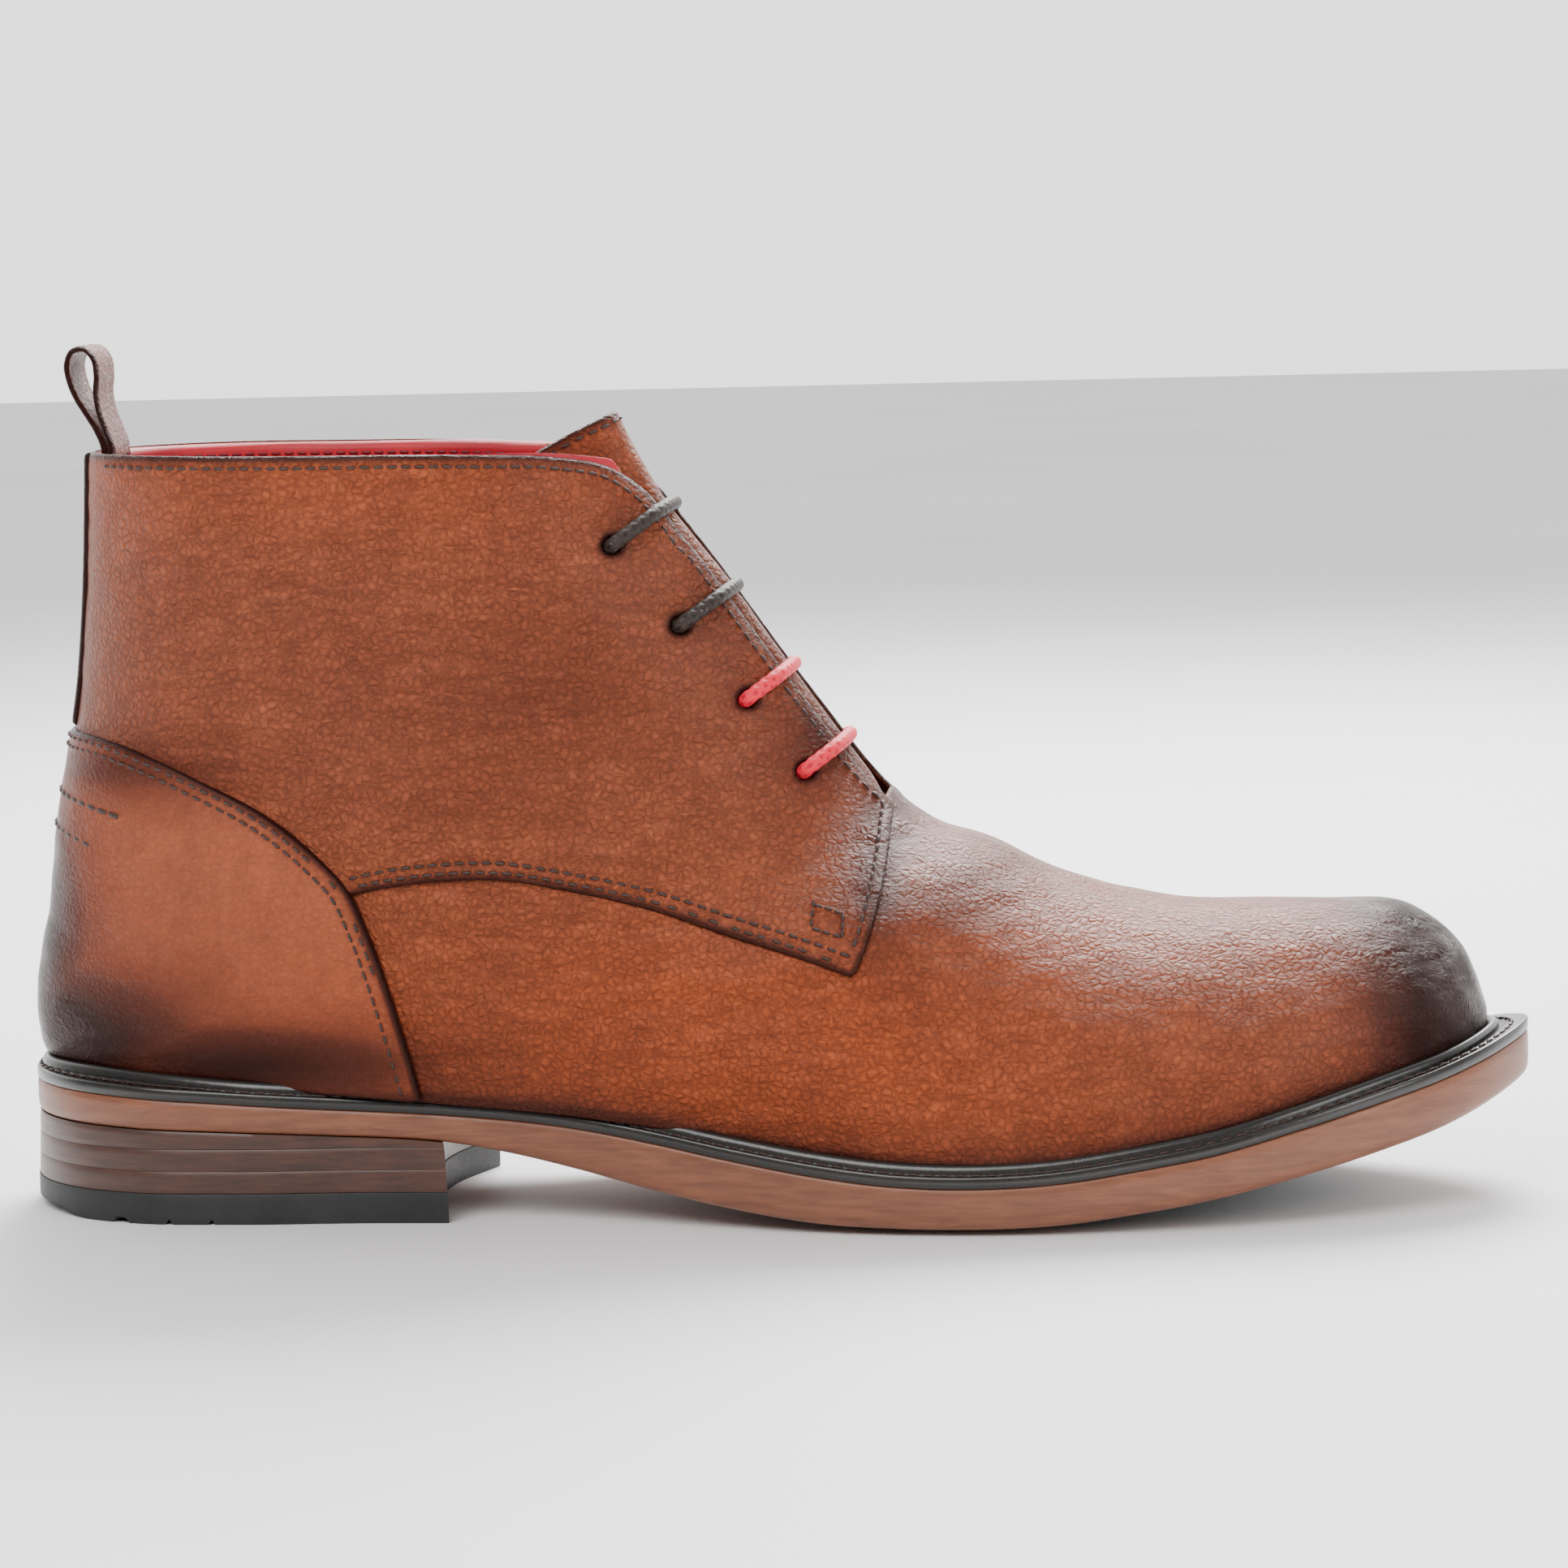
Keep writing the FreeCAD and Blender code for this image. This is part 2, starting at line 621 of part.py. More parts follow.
sole_plan = closed_spline("SolePlan", OUTSOLE_PLAN, -5)
welt = cut(common(sole_plan, band("WeltBand", SOLE_TOP, 0.1, WELT_TOP, -0.05)), form("WeltClear"), "Welt")
finish_piece(welt, "welt")

INSERT_PLAN = [
    (150, -24), (168, -36), (200, -42), (228, -40.5), (254, -33.5), (276, -20.5), (289, 2),
    (280, 20), (260, 31.5), (235, 37), (205, 38.5), (178, 36), (158, 26), (148, 8), (146, -8),
]
insert_plan = closed_spline("InsertPlan", INSERT_PLAN, -5)
tread = common(insert_plan, band("TreadBand", SOLE_BOTTOM, -1.3, SOLE_BOTTOM, 1.2), name="Tread")
finish_piece(tread, "tread_insert")
recess = common(insert_plan, band("RecessBand", SOLE_BOTTOM, -6, SOLE_BOTTOM, 1.3), name="Recess")

# ---------------------------------------------------------------------------------------------
# Heel: three leather lifts, a rubber top lift and the nails
# ---------------------------------------------------------------------------------------------
HEEL_PLAN = [
    (91, -34.2), (75, -34), (48, -35), (27, -33), (12, -25), (3.5, -14), (0, 0), (3.5, 14),
    (12, 25), (27, 33), (50, 34), (75, 31), (91, 29.5),
]
NAIL_PLACES = [(14, 0), (26, -19), (26, 19), (52, -22), (52, 21), (78, -20), (78, 17)]


def heel_runs(inset):
    """The heel's plan, drawn in by an inset, with a hollow breast."""
    shrink_x, shrink_y = 1 - inset / 46, 1 - inset / 34
    rear = [(45 + (x - 45) * shrink_x, y * shrink_y) for x, y in HEEL_PLAN]
    breast = [rear[-1], (rear[-1][0] - 6, 8), (rear[0][0] - 6, -12), rear[0]]
    return [rear, breast]


def heel_pad(label, inset, bottom, height):
    """One lift: a body with a plan sketch and a pad."""
    body = doc.addObject("PartDesign::Body", label.title().replace("_", ""))
    plane = [f for f in body.Origin.OriginFeatures if f.Role == "XY_Plane"][0]
    sketch = body.newObject("Sketcher::SketchObject", body.Name + "Plan")
    sketch.AttachmentSupport = [(plane, "")]
    sketch.MapMode = "FlatFace"
    sketch.AttachmentOffset = Placement(Vector(0, 0, bottom), Rotation())
    for run in heel_runs(inset):
        sketch.addGeometry(curve_through(run), False)
    pad = body.newObject("PartDesign::Pad", body.Name + "Pad")
    pad.Profile = sketch
    pad.setExpression("Length", height)
    return body


def nail_shapes(grow):
    """The heel nails, standing upright, or their holes."""
    bottom = size("TopLiftHeight") + 0.5
    nails = []
    for x, y in NAIL_PLACES:
        nails.append(Part.makeCylinder(size("NailDiameter") / 2 + grow, size("NailLength") + grow,
                                       Vector(x, y, bottom - grow)))
    return Part.makeCompound(nails)


nail_holes = solid_object("NailHoles", nail_shapes(0.05))
finish_piece(solid_object("HeelNails", nail_shapes(0)), "heel_nails")
outsole = cut(cut(common(sole_plan, band("SoleBand", SOLE_BOTTOM, 0, SOLE_TOP, 0)), recess),
              nail_holes, "Outsole")
finish_piece(outsole, "outsole")
over_heel = band("OverHeel", SOLE_BOTTOM, -0.05, SOLE_BOTTOM, 30)

finish_piece(heel_pad("top_lift", 3.4, 0, "Sizes.TopLiftHeight - Sizes.LiftGap"), "top_lift")
for number, inset in enumerate((2.8, 2.1, 1.4), start=1):
    bottom = size("TopLiftHeight") + (number - 1) * (size("LiftHeight") + size("LiftGap"))
    lift = heel_pad(f"heel_lift_{number}", inset, bottom, "Sizes.LiftHeight")
    lift.Label = f"HeelLift{number}Blank"
    finish_piece(cut(cut(lift, over_heel), nail_holes, f"HeelLift{number}"), f"heel_lift_{number}")

# ---------------------------------------------------------------------------------------------
# Pull loop and laces
# ---------------------------------------------------------------------------------------------
LOOP_OUTSIDE = [
    (19.6, 156.2), (18, 158.6), (15.2, 163), (12.9, 169.5), (12.8, 174.4), (15.5, 177.3),
    (18.9, 176), (21.3, 171.5), (21.8, 166), (21.2, 160.5), (20.8, 157.6),
]
LOOP_INSIDE = [
    (19.3, 160.6), (17, 164), (14.4, 170.3), (14.4, 173.8), (15.8, 175.7), (17.9, 174.7),
    (19.9, 170.9), (20.3, 166), (20, 162.4),
]


def pull_loop_body():
    """The loop's strip, folded into a drop, as a pad across the heel."""
    body = doc.addObject("PartDesign::Body", "PullLoop")
    plane = [f for f in body.Origin.OriginFeatures if f.Role == "XZ_Plane"][0]
    sketch = body.newObject("Sketcher::SketchObject", "PullLoopSide")
    sketch.AttachmentSupport = [(plane, "")]
    sketch.MapMode = "FlatFace"
    for points in (LOOP_OUTSIDE, LOOP_INSIDE):
        curve = Part.BSplineCurve()
        curve.interpolate([Vector(x, z, 0) for x, z in points], PeriodicFlag=True)
        sketch.addGeometry(curve, False)
    pad = body.newObject("PartDesign::Pad", "PullLoopPad")
    pad.Profile = sketch
    pad.setExpression("Length", "Sizes.LoopWidth")
    pad.Midplane = True
    return body


finish_piece(pull_loop_body(), "pull_loop")

brown = tube(lace_route(HOLE_PLACES[1], HOLE_PLACES[0]), size("LaceDiameter"), size("LaceBend"))
finish_piece(solid_object("LaceBrown", brown), "lace_brown")
red = tube(lace_route(HOLE_PLACES[3], HOLE_PLACES[2]), size("LaceDiameter"), size("LaceBend"))
finish_piece(solid_object("LaceRed", red), "lace_red")

# ---------------------------------------------------------------------------------------------
# Check and write
# ---------------------------------------------------------------------------------------------
doc.recompute()
for item in doc.Objects:
    if "Invalid" in item.State or "Error" in item.State:
        raise RuntimeError(f"{item.Name} failed: {item.State}")
os.makedirs("parts", exist_ok=True)
whole = FreeCAD.BoundBox()
for piece in SUB_PARTS:
    if piece.Shape.isNull() or not piece.Shape.isValid():
        raise RuntimeError(f"{piece.Label} has no valid shape")
    whole.add(piece.Shape.BoundBox)
    print(f"{piece.Label}: {len(piece.Shape.Solids)} solids, {piece.Shape.Volume:.0f} mm3")
    piece.Shape.exportStep(f"parts/{piece.Label}.step")
print("whole", whole)
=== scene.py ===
import bpy, math
import numpy as np
from mathutils import Vector, Matrix
from mathutils.bvhtree import BVHTree


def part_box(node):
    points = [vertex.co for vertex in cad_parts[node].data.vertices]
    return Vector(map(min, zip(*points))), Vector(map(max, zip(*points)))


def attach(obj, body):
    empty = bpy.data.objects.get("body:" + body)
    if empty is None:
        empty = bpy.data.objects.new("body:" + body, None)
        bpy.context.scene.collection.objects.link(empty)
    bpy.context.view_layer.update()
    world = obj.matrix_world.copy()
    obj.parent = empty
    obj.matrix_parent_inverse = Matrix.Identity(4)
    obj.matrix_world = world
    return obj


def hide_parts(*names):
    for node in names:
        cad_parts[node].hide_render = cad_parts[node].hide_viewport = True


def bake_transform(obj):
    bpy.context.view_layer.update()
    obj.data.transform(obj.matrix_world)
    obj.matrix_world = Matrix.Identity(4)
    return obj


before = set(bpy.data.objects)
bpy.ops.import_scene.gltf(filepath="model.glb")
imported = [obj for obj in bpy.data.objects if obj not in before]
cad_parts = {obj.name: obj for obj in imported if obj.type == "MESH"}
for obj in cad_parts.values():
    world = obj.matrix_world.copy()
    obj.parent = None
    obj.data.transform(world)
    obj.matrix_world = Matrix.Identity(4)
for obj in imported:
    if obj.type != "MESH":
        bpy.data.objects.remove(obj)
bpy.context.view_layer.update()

mm = 0.001
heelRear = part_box("outsole")[0].x          # the boot is laid out in mm from the rear of its sole
sideShift = 0.00195                        # middle plane of the foot form, in the frame


def toFrame(points):
    moved = np.array(points, float) * mm
    moved[..., 0] += heelRear
    moved[..., 1] += sideShift
    return moved


def smooth(knots, values, places):
    knots, values = np.asarray(knots, float), np.asarray(values, float)
    places = np.clip(places, knots[0], knots[-1])
    step = np.diff(knots)
    rise = np.diff(values, axis=0) / (step[:, None] if values.ndim > 1 else step)
    slopes = np.empty_like(values)
    slopes[0], slopes[-1] = rise[0], rise[-1]
    left, right = step[:-1], step[1:]
    if values.ndim > 1:
        left, right = left[:, None], right[:, None]
    slopes[1:-1] = (rise[:-1] * right + rise[1:] * left) / (left + right)
    index = np.clip(np.searchsorted(knots, places, side="right") - 1, 0, len(knots) - 2)
    part = (places - knots[index]) / step[index]
    width = step[index]
    if values.ndim > 1:
        part, width = part[:, None], width[:, None]
    return ((2 * part**3 - 3 * part**2 + 1) * values[index]
            + (part**3 - 2 * part**2 + part) * width * slopes[index]
            + (3 * part**2 - 2 * part**3) * values[index + 1]
            + (part**3 - part**2) * width * slopes[index + 1])


# ---- camera first
view = {"place": (291.0, -1135.0, 212.4), "look": (157.7, 0.0, 84.2), "roll": 1.55, "lens": 129.1}


def makeCamera():
    camera = bpy.data.objects.new("camera", bpy.data.cameras.new("camera"))
    bpy.context.scene.collection.objects.link(camera)
    place, look = Vector(toFrame(view["place"])), Vector(toFrame(view["look"]))
    turn = (look - place).to_track_quat("-Z", "Y").to_matrix().to_4x4()
    roll = Matrix.Rotation(math.radians(-view["roll"]), 4, "Z")
    camera.matrix_world = Matrix.Translation(place) @ turn @ roll
    camera.data.lens = view["lens"]
    camera.data.sensor_width = 36
    camera.data.clip_end = 20
    bpy.context.scene.camera = camera


makeCamera()
print("camera placed")

# ---- the foot form, as one fine grid of points round the whole upper
form = {
    "rings": [   # x and z of the instep end, of the low end, three half widths, two rounding lengths
        (114, 186, 21, 186, 24, 27.5, 26, 50, 34),
        (127, 153.5, 20.3, 150, 24.5, 28, 26.5, 50, 36),
        (146.5, 126, 17.3, 110, 24.5, 28.5, 26.5, 52, 36),
        (164, 101, 9.9, 66, 26, 29.5, 27, 56, 36),
        (177.5, 82.5, 8.6, 30, 31, 33, 26.5, 60, 36),
        (185, 75.5, 42, 2, 38, 34.5, 26.5, 60, 24),
        (198, 70.3, 112, -8, 46, 39, 29, 58, 18),
        (214.5, 62.5, 192, -14, 45.5, 45.5, 44.5, 48, 14),
        (238, 56.8, 240, -10, 40.5, 41.5, 41.5, 40, 14),
        (266, 56.2, 262, -4, 32, 33.5, 33.5, 30, 14),
        (284, 54.4, 272, -1, 22.5, 25.5, 25.5, 23, 12),
        (292.6, 47.5, 278, 0, 17, 20.5, 20.5, 18, 11),
        (296, 38, 281, 2, 14, 15.5, 15.5, 16, 10),
        (296.6, 27, 284.5, 4, 11, 12, 12, 14, 10),
        (295, 16, 288, 6, 4.6, 5, 5, 6, 6),
    ],
    "swing": [(-20, 0), (45, 0), (110, -3.2), (200, -2), (250, -0.8), (285, 1.6), (330, 4.5)],
    "rows": 400, "columns": 281,
}


def centreAt(places):
    line = np.array(form["swing"])
    return smooth(line[:, 0], line[:, 1], np.asarray(places, float))


def formGrid():
    rings = np.array(form["rings"], float)
    top = np.hypot(np.diff(rings[:, 0]), np.diff(rings[:, 1]))
    low = np.hypot(np.diff(rings[:, 2]), np.diff(rings[:, 3]))
    knots = np.concatenate([[0], np.cumsum((top + low) / 2)])
    places = np.linspace(0, knots[-1], form["rows"])
    made = smooth(knots, rings, places)
    around = np.linspace(-1, 1, form["columns"])
    share = (1 - np.cos(np.pi * np.abs(around))) / 2
    topPoint, lowPoint = made[:, None, 0:2], made[:, None, 2:4]
    flat = topPoint + (lowPoint - topPoint) * share[None, :, None]
    length = np.linalg.norm(made[:, 2:4] - made[:, 0:2], axis=1)[:, None]
    w1, w2, w3 = made[:, 4:5], made[:, 5:6], made[:, 6:7]
    width = (w1 * (share - 0.5) * (share - 0.8) / 0.18 - w2 * (share - 0.2) * (share - 0.8) / 0.09
             + w3 * (share - 0.2) * (share - 0.5) / 0.18)
    fromTop = np.minimum(share * length / made[:, 7:8], 1)
    fromLow = np.minimum((1 - share) * length / made[:, 8:9], 1)
    closing = np.sqrt(1 - (1 - fromTop)**2) * np.maximum(1 - (1 - fromLow)**2.4, 0)**(1 / 2.2)
    points = np.empty((form["rows"], form["columns"], 3))
    points[..., 0], points[..., 2] = flat[..., 0], flat[..., 1]
    points[..., 1] = centreAt(flat[..., 0]) + np.sign(around) * width * closing
    return points


def gridNormals(points):
    down, round_ = np.gradient(points, axis=0), np.gradient(points, axis=1)
    normals = np.cross(round_, down)
    size = np.linalg.norm(normals, axis=2, keepdims=True)
    normals /= np.maximum(size, 1e-9)
    middle = points.mean(axis=1, keepdims=True)
    facing = np.sign(((points - middle) * normals).sum(axis=2).mean())
    return normals * facing


skin = formGrid()
normals = gridNormals(skin)
spanX, spanY, spanZ = skin[..., 0], skin[..., 1], skin[..., 2]
sideways = spanY - centreAt(spanX)
print("form made", skin.shape)


# ---- lines, outlines and cut sheets
def curveThrough(points, step=1.0):
    knots = np.concatenate([[0], np.cumsum(np.linalg.norm(np.diff(np.array(points, float), axis=0), axis=1))])
    places = np.linspace(0, knots[-1], max(int(knots[-1] / step), 2) + 1)
    return smooth(knots, np.array(points, float), places)


def closedCurve(points, count):
    loop = np.array(points, float)
    wide = np.vstack([loop[-3:], loop, loop[:3]])
    knots = np.concatenate([[0], np.cumsum(np.linalg.norm(np.diff(wide, axis=0), axis=1))])
    places = np.linspace(knots[3], knots[3 + len(loop)], count, endpoint=False)
    return smooth(knots, wide, places)


def distanceTo(line, x, z):
    best = np.full(x.shape, 1e9)
    line = np.asarray(line, float)
    for (ax, az), (bx, bz) in zip(line, line[1:]):
        dx, dz = bx - ax, bz - az
        share = np.clip(((x - ax) * dx + (z - az) * dz) / max(dx * dx + dz * dz, 1e-9), 0, 1)
        best = np.minimum(best, np.hypot(x - ax - share * dx, z - az - share * dz))
    return best


def insideOf(outline, x, z):
    inside = np.zeros(x.shape, bool)
    outline = np.asarray(outline, float)
    for (ax, az), (bx, bz) in zip(outline, np.roll(outline, -1, axis=0)):
        if az == bz:
            continue
        crossing = ((az > z) != (bz > z)) & (x < (bx - ax) * (z - az) / (bz - az) + ax)
        inside ^= crossing
    return inside


def signedTo(outline, x, z):
    closed = np.vstack([outline, outline[:1]])
    gap = distanceTo(closed, x, z)
    return np.where(insideOf(outline, x, z), gap, -gap)


def raisedSkin(offset):
    spot = skin + normals * offset
    return spot[..., 0], spot[..., 1] - centreAt(spot[..., 0]), spot[..., 2]


def heightOf(line, places):
    table = np.array(line, float)
    return smooth(table[:, 0], table[:, 1], places)


def cutSheet(field, firstColumn=0, lastColumn=None, loops=(0, 0.3, 0.7, 1.3), lastRow=None):
    lastColumn = form["columns"] - 1 if lastColumn is None else lastColumn
    lastRow = form["rows"] - 1 if lastRow is None else lastRow
    number = np.arange(form["rows"] * form["columns"]).reshape(form["rows"], form["columns"])
    part = number[:lastRow + 1, firstColumn:lastColumn + 1]
    quads = np.stack([part[:-1, :-1], part[:-1, 1:], part[1:, 1:], part[1:, :-1]], axis=-1).reshape(-1, 4)
    depth = field.reshape(-1)
    ofQuad = depth[quads]
    whole = quads[ofQuad.min(axis=1) > loops[-1]]
    near = quads[(ofQuad.max(axis=1) > 0) & (ofQuad.min(axis=1) <= loops[-1])].tolist()
    table = np.concatenate([skin.reshape(-1, 3), normals.reshape(-1, 3), depth[:, None]], axis=1)
    added = []

    def row(index):
        return table[index] if index < len(table) else added[index - len(table)]

    for level in loops:
        made, nextFaces = {}, []
        for face in near:
            above = [row(v)[6] >= level for v in face]
            if all(above):
                nextFaces.append(face)
                continue
            if not any(above):
                if level > 0:
                    nextFaces.append(face)
                continue
            upper, lower = [], []
            for k, v in enumerate(face):
                other = face[(k + 1) % len(face)]
                (upper if above[k] else lower).append(v)
                if above[k] != above[(k + 1) % len(face)]:
                    key = (min(v, other), max(v, other))
                    if key not in made:
                        a, b = row(key[0]), row(key[1])
                        share = (level - a[6]) / (b[6] - a[6])
                        made[key] = len(table) + len(added)
                        added.append(a + (b - a) * share)
                    upper.append(made[key])
                    lower.append(made[key])
            if len(upper) > 2:
                nextFaces.append(upper)
            if level > 0 and len(lower) > 2:
                nextFaces.append(lower)
        near = nextFaces
    faces = whole.tolist() + near
    full = np.vstack([table, np.array(added)]) if added else table
    used = np.unique(np.concatenate([np.array(f) for f in near] + [whole.reshape(-1)]).astype(int))
    renumber = np.full(len(full), -1)
    renumber[used] = np.arange(len(used))
    faces = [[int(renumber[v]) for v in face] for face in faces]
    kept = full[used]
    out = kept[:, 3:6] / np.linalg.norm(kept[:, 3:6], axis=1, keepdims=True)
    return {"at": kept[:, :3], "out": out, "depth": np.maximum(kept[:, 6], 0), "faces": faces}


def rimOf(faces):
    count = {}
    for face in faces:
        for a, b in zip(face, face[1:] + face[:1]):
            if (b, a) in count:
                del count[(b, a)]
            else:
                count[(a, b)] = True
    return list(count)


def linesAt(field, level, keep, offset, firstColumn=0, lastColumn=None):
    lastColumn = form["columns"] - 1 if lastColumn is None else lastColumn
    spot = skin + normals * offset
    value = field - level
    crossing, cells = {}, {}

    def point(a, b):
        key = (a, b) if a < b else (b, a)
        if key not in crossing:
            va, vb = value[key[0]], value[key[1]]
            share = va / (va - vb)
            crossing[key] = (spot[key[0]] * (1 - share) + spot[key[1]] * share,
                             normals[key[0]] * (1 - share) + normals[key[1]] * share)
        return key

    signs = value > 0
    corners = np.stack([signs[:-1, :-1], signs[:-1, 1:], signs[1:, 1:], signs[1:, :-1]], axis=-1)
    mixed = corners.any(axis=-1) & ~corners.all(axis=-1) & keep[:-1, :-1] & keep[1:, 1:]
    for i, j in zip(*np.nonzero(mixed)):
        if j < firstColumn or j >= lastColumn:
            continue
        ring = [(i, j), (i, j + 1), (i + 1, j + 1), (i + 1, j)]
        found = [point(a, b) for a, b in zip(ring, ring[1:] + ring[:1]) if signs[a] != signs[b]]
        if len(found) == 2:
            cells.setdefault(found[0], []).append(found[1])
            cells.setdefault(found[1], []).append(found[0])
    lines, seen = [], set()
    for start in sorted(cells, key=lambda key: (len(cells[key]), key)):
        if start in seen:
            continue
        line, here = [start], start
        seen.add(start)
        while True:
            onward = [n for n in cells[here] if n not in seen]
            if not onward:
                break
            here = onward[0]
            seen.add(here)
            line.append(here)
        if len(line) > 3:
            if len(cells[start]) == 2:
                line.append(start)
            lines.append((np.array([crossing[k][0] for k in line]), np.array([crossing[k][1] for k in line])))
    return lines


def resample(points, step, others=None, count=None):
    knots = np.concatenate([[0], np.cumsum(np.linalg.norm(np.diff(points, axis=0), axis=1))])
    count = max(int(round(knots[-1] / step)), 2) if count is None else count
    places = np.linspace(0, knots[-1], count + 1)
    moved = [np.stack([np.interp(places, knots, table[:, k]) for k in range(table.shape[1])], axis=1)
             for table in ([points] if others is None else [points, others])]
    return moved[0] if others is None else moved


def ease(value, low, high):
    share = np.clip((value - low) / (high - low), 0, 1)
    return share * share * (3 - 2 * share)


# ---- making objects
def makePiece(name, points, faces, material, body="boot", values=None, flatShade=False,
              node=()):
    mesh = bpy.data.meshes.new(name)
    mesh.from_pydata(toFrame(points).tolist(), [], faces)
    mesh.validate()
    mesh.update()
    for label, numbers in (values or {}).items():
        layer = mesh.attributes.new(label, "FLOAT", "POINT")
        layer.data.foreach_set("value", np.asarray(numbers, np.float32))
    if not flatShade:
        mesh.polygons.foreach_set("use_smooth", [True] * len(mesh.polygons))
    mesh.materials.append(material)
    piece = bpy.data.objects.new(name, mesh)
    bpy.context.scene.collection.objects.link(piece)
    if body:
        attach(piece, body)
    if node:
        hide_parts(*node)
    return piece


def layerSolid(sheet, inner, outer, rise=0.45, roundness=1.3, shape=None):
    depth = sheet["depth"]
    inner = inner(sheet["at"]) if callable(inner) else np.full(len(depth), float(inner))
    curve = np.sqrt(1 - (1 - np.clip(depth / roundness, 0, 1))**2)
    low = inner + (outer - inner) * rise
    height = low + (outer - low) * curve
    if shape is not None:
        height = height + shape * ease(depth, 0.2, 4)
    top = sheet["at"] + sheet["out"] * height[:, None]
    bottom = sheet["at"] + sheet["out"] * inner[:, None]
    count = len(top)
    faces = list(sheet["faces"])
    faces += [[v + count for v in reversed(face)] for face in sheet["faces"]]
    faces += [[b, a, a + count, b + count] for a, b in rimOf(sheet["faces"])]
    return np.vstack([top, bottom]), faces


def tubeAlong(path, radius, around=14, ends=True, relief=None):
    path = np.asarray(path, float)
    tangent = np.gradient(path, axis=0)
    tangent /= np.linalg.norm(tangent, axis=1, keepdims=True)
    up = np.cross(tangent[0], [0.3, 0.5, 0.81])
    points = []
    length = np.concatenate([[0], np.cumsum(np.linalg.norm(np.diff(path, axis=0), axis=1))])
    angle = np.linspace(0, 2 * np.pi, around, endpoint=False)
    for k, (spot, along) in enumerate(zip(path, tangent)):
        up = up - along * np.dot(up, along)
        up /= np.linalg.norm(up)
        side = np.cross(along, up)
        size = np.full(around, radius) if relief is None else radius + relief(angle, length[k])
        points.append(spot + np.cos(angle)[:, None] * up * size[:, None]
                      + np.sin(angle)[:, None] * side * size[:, None])
    points = np.vstack(points)
    faces = []
    for k in range(len(path) - 1):
        for j in range(around):
            n = (j + 1) % around
            faces.append([k * around + j, k * around + n, (k + 1) * around + n, (k + 1) * around + j])
    if ends:
        faces.append(list(range(around))[::-1])
        faces.append([(len(path) - 1) * around + j for j in range(around)])
    return points, faces


stitchShape = {"length": 2.0, "width": 0.62, "height": 0.5, "pitch": 2.75, "sunk": 0.05}


def stitchMesh(lines, pitch=None, length=None, width=None):
    pitch = pitch or stitchShape["pitch"]
    length = length or stitchShape["length"]
    width = width or stitchShape["width"]
    along = np.array([-0.5, -0.46, -0.3, 0, 0.3, 0.46, 0.5])
    size = np.array([0.3, 0.72, 0.95, 1.0, 0.95, 0.72, 0.3])
    arch = np.array([-0.9, -0.25, 0.0, 0.12, 0.0, -0.25, -0.9])
    around = 8
    angle = np.linspace(0, 2 * np.pi, around, endpoint=False)
    points, faces = [], []
    for line, out in lines:
        total = np.linalg.norm(np.diff(line, axis=0), axis=1).sum()
        if total < pitch:
            continue
        spots, ways = resample(line, pitch / 2, out, count=2 * max(int(round(total / pitch)), 1))
        for k in range(1, len(spots) - 1, 2):
            way = spots[k + 1] - spots[k - 1]
            way /= np.linalg.norm(way)
            up = ways[k] - way * np.dot(way, ways[k])
            up /= np.linalg.norm(up)
            side = np.cross(up, way)
            start = sum(len(p) for p in points)
            lift = stitchShape["height"] / 2 - stitchShape["sunk"]
            for a, s, h in zip(along, size, arch):
                centre = spots[k] + way * a * length + up * (lift + h * stitchShape["height"])
                points.append(centre + np.cos(angle)[:, None] * side * s * width / 2
                              + np.sin(angle)[:, None] * up * s * stitchShape["height"] / 2)
            for r in range(len(along) - 1):
                for j in range(around):
                    n = (j + 1) % around
                    faces.append([start + r * around + j, start + r * around + n,
                                  start + (r + 1) * around + n, start + (r + 1) * around + j])
            faces.append([start + j for j in reversed(range(around))])
            faces.append([start + (len(along) - 1) * around + j for j in range(around)])
    return np.vstack(points), faces


# ---- materials
def newMaterial(name):
    material = bpy.data.materials.new(name)
    material.use_nodes = True
    nodes, links = material.node_tree.nodes, material.node_tree.links
    return material, nodes, links, nodes["Principled BSDF"]


def ramp(nodes, links, source, stops):
    made = nodes.new("ShaderNodeValToRGB")
    elements = made.color_ramp.elements
    while len(elements) < len(stops):
        elements.new(0.5)
    for element, (place, colour) in zip(elements, stops):
        element.position = place
        element.color = (*colour, 1) if len(colour) == 3 else colour
    links.new(source, made.inputs["Fac"])
    return made.outputs["Color"]


def mixColour(nodes, links, share, first, second, mode="MIX"):
    made = nodes.new("ShaderNodeMix")
    made.data_type = "RGBA"
    made.blend_type = mode
    for socket, value in ((made.inputs[0], share), (made.inputs[6], first), (made.inputs[7], second)):
        if isinstance(value, (int, float)):
            socket.default_value = value
        elif isinstance(value, tuple):
            socket.default_value = (*value, 1)
        else:
            links.new(value, socket)
    return made.outputs[2]


def maths(nodes, links, operation, *values, clamp=False):
    made = nodes.new("ShaderNodeMath")
    made.operation = operation
    made.use_clamp = clamp
    for socket, value in zip(made.inputs, values):
        if isinstance(value, (int, float)):
            socket.default_value = value
        else:
            links.new(value, socket)
    return made.outputs[0]


def noiseAt(nodes, links, place, scale, detail=4, roughness=0.55, distortion=0.0):
    made = nodes.new("ShaderNodeTexNoise")
    made.inputs["Scale"].default_value = scale
    made.inputs["Detail"].default_value = detail
    made.inputs["Roughness"].default_value = roughness
    made.inputs["Distortion"].default_value = distortion
    links.new(place, made.inputs["Vector"])
    return made.outputs["Fac"]


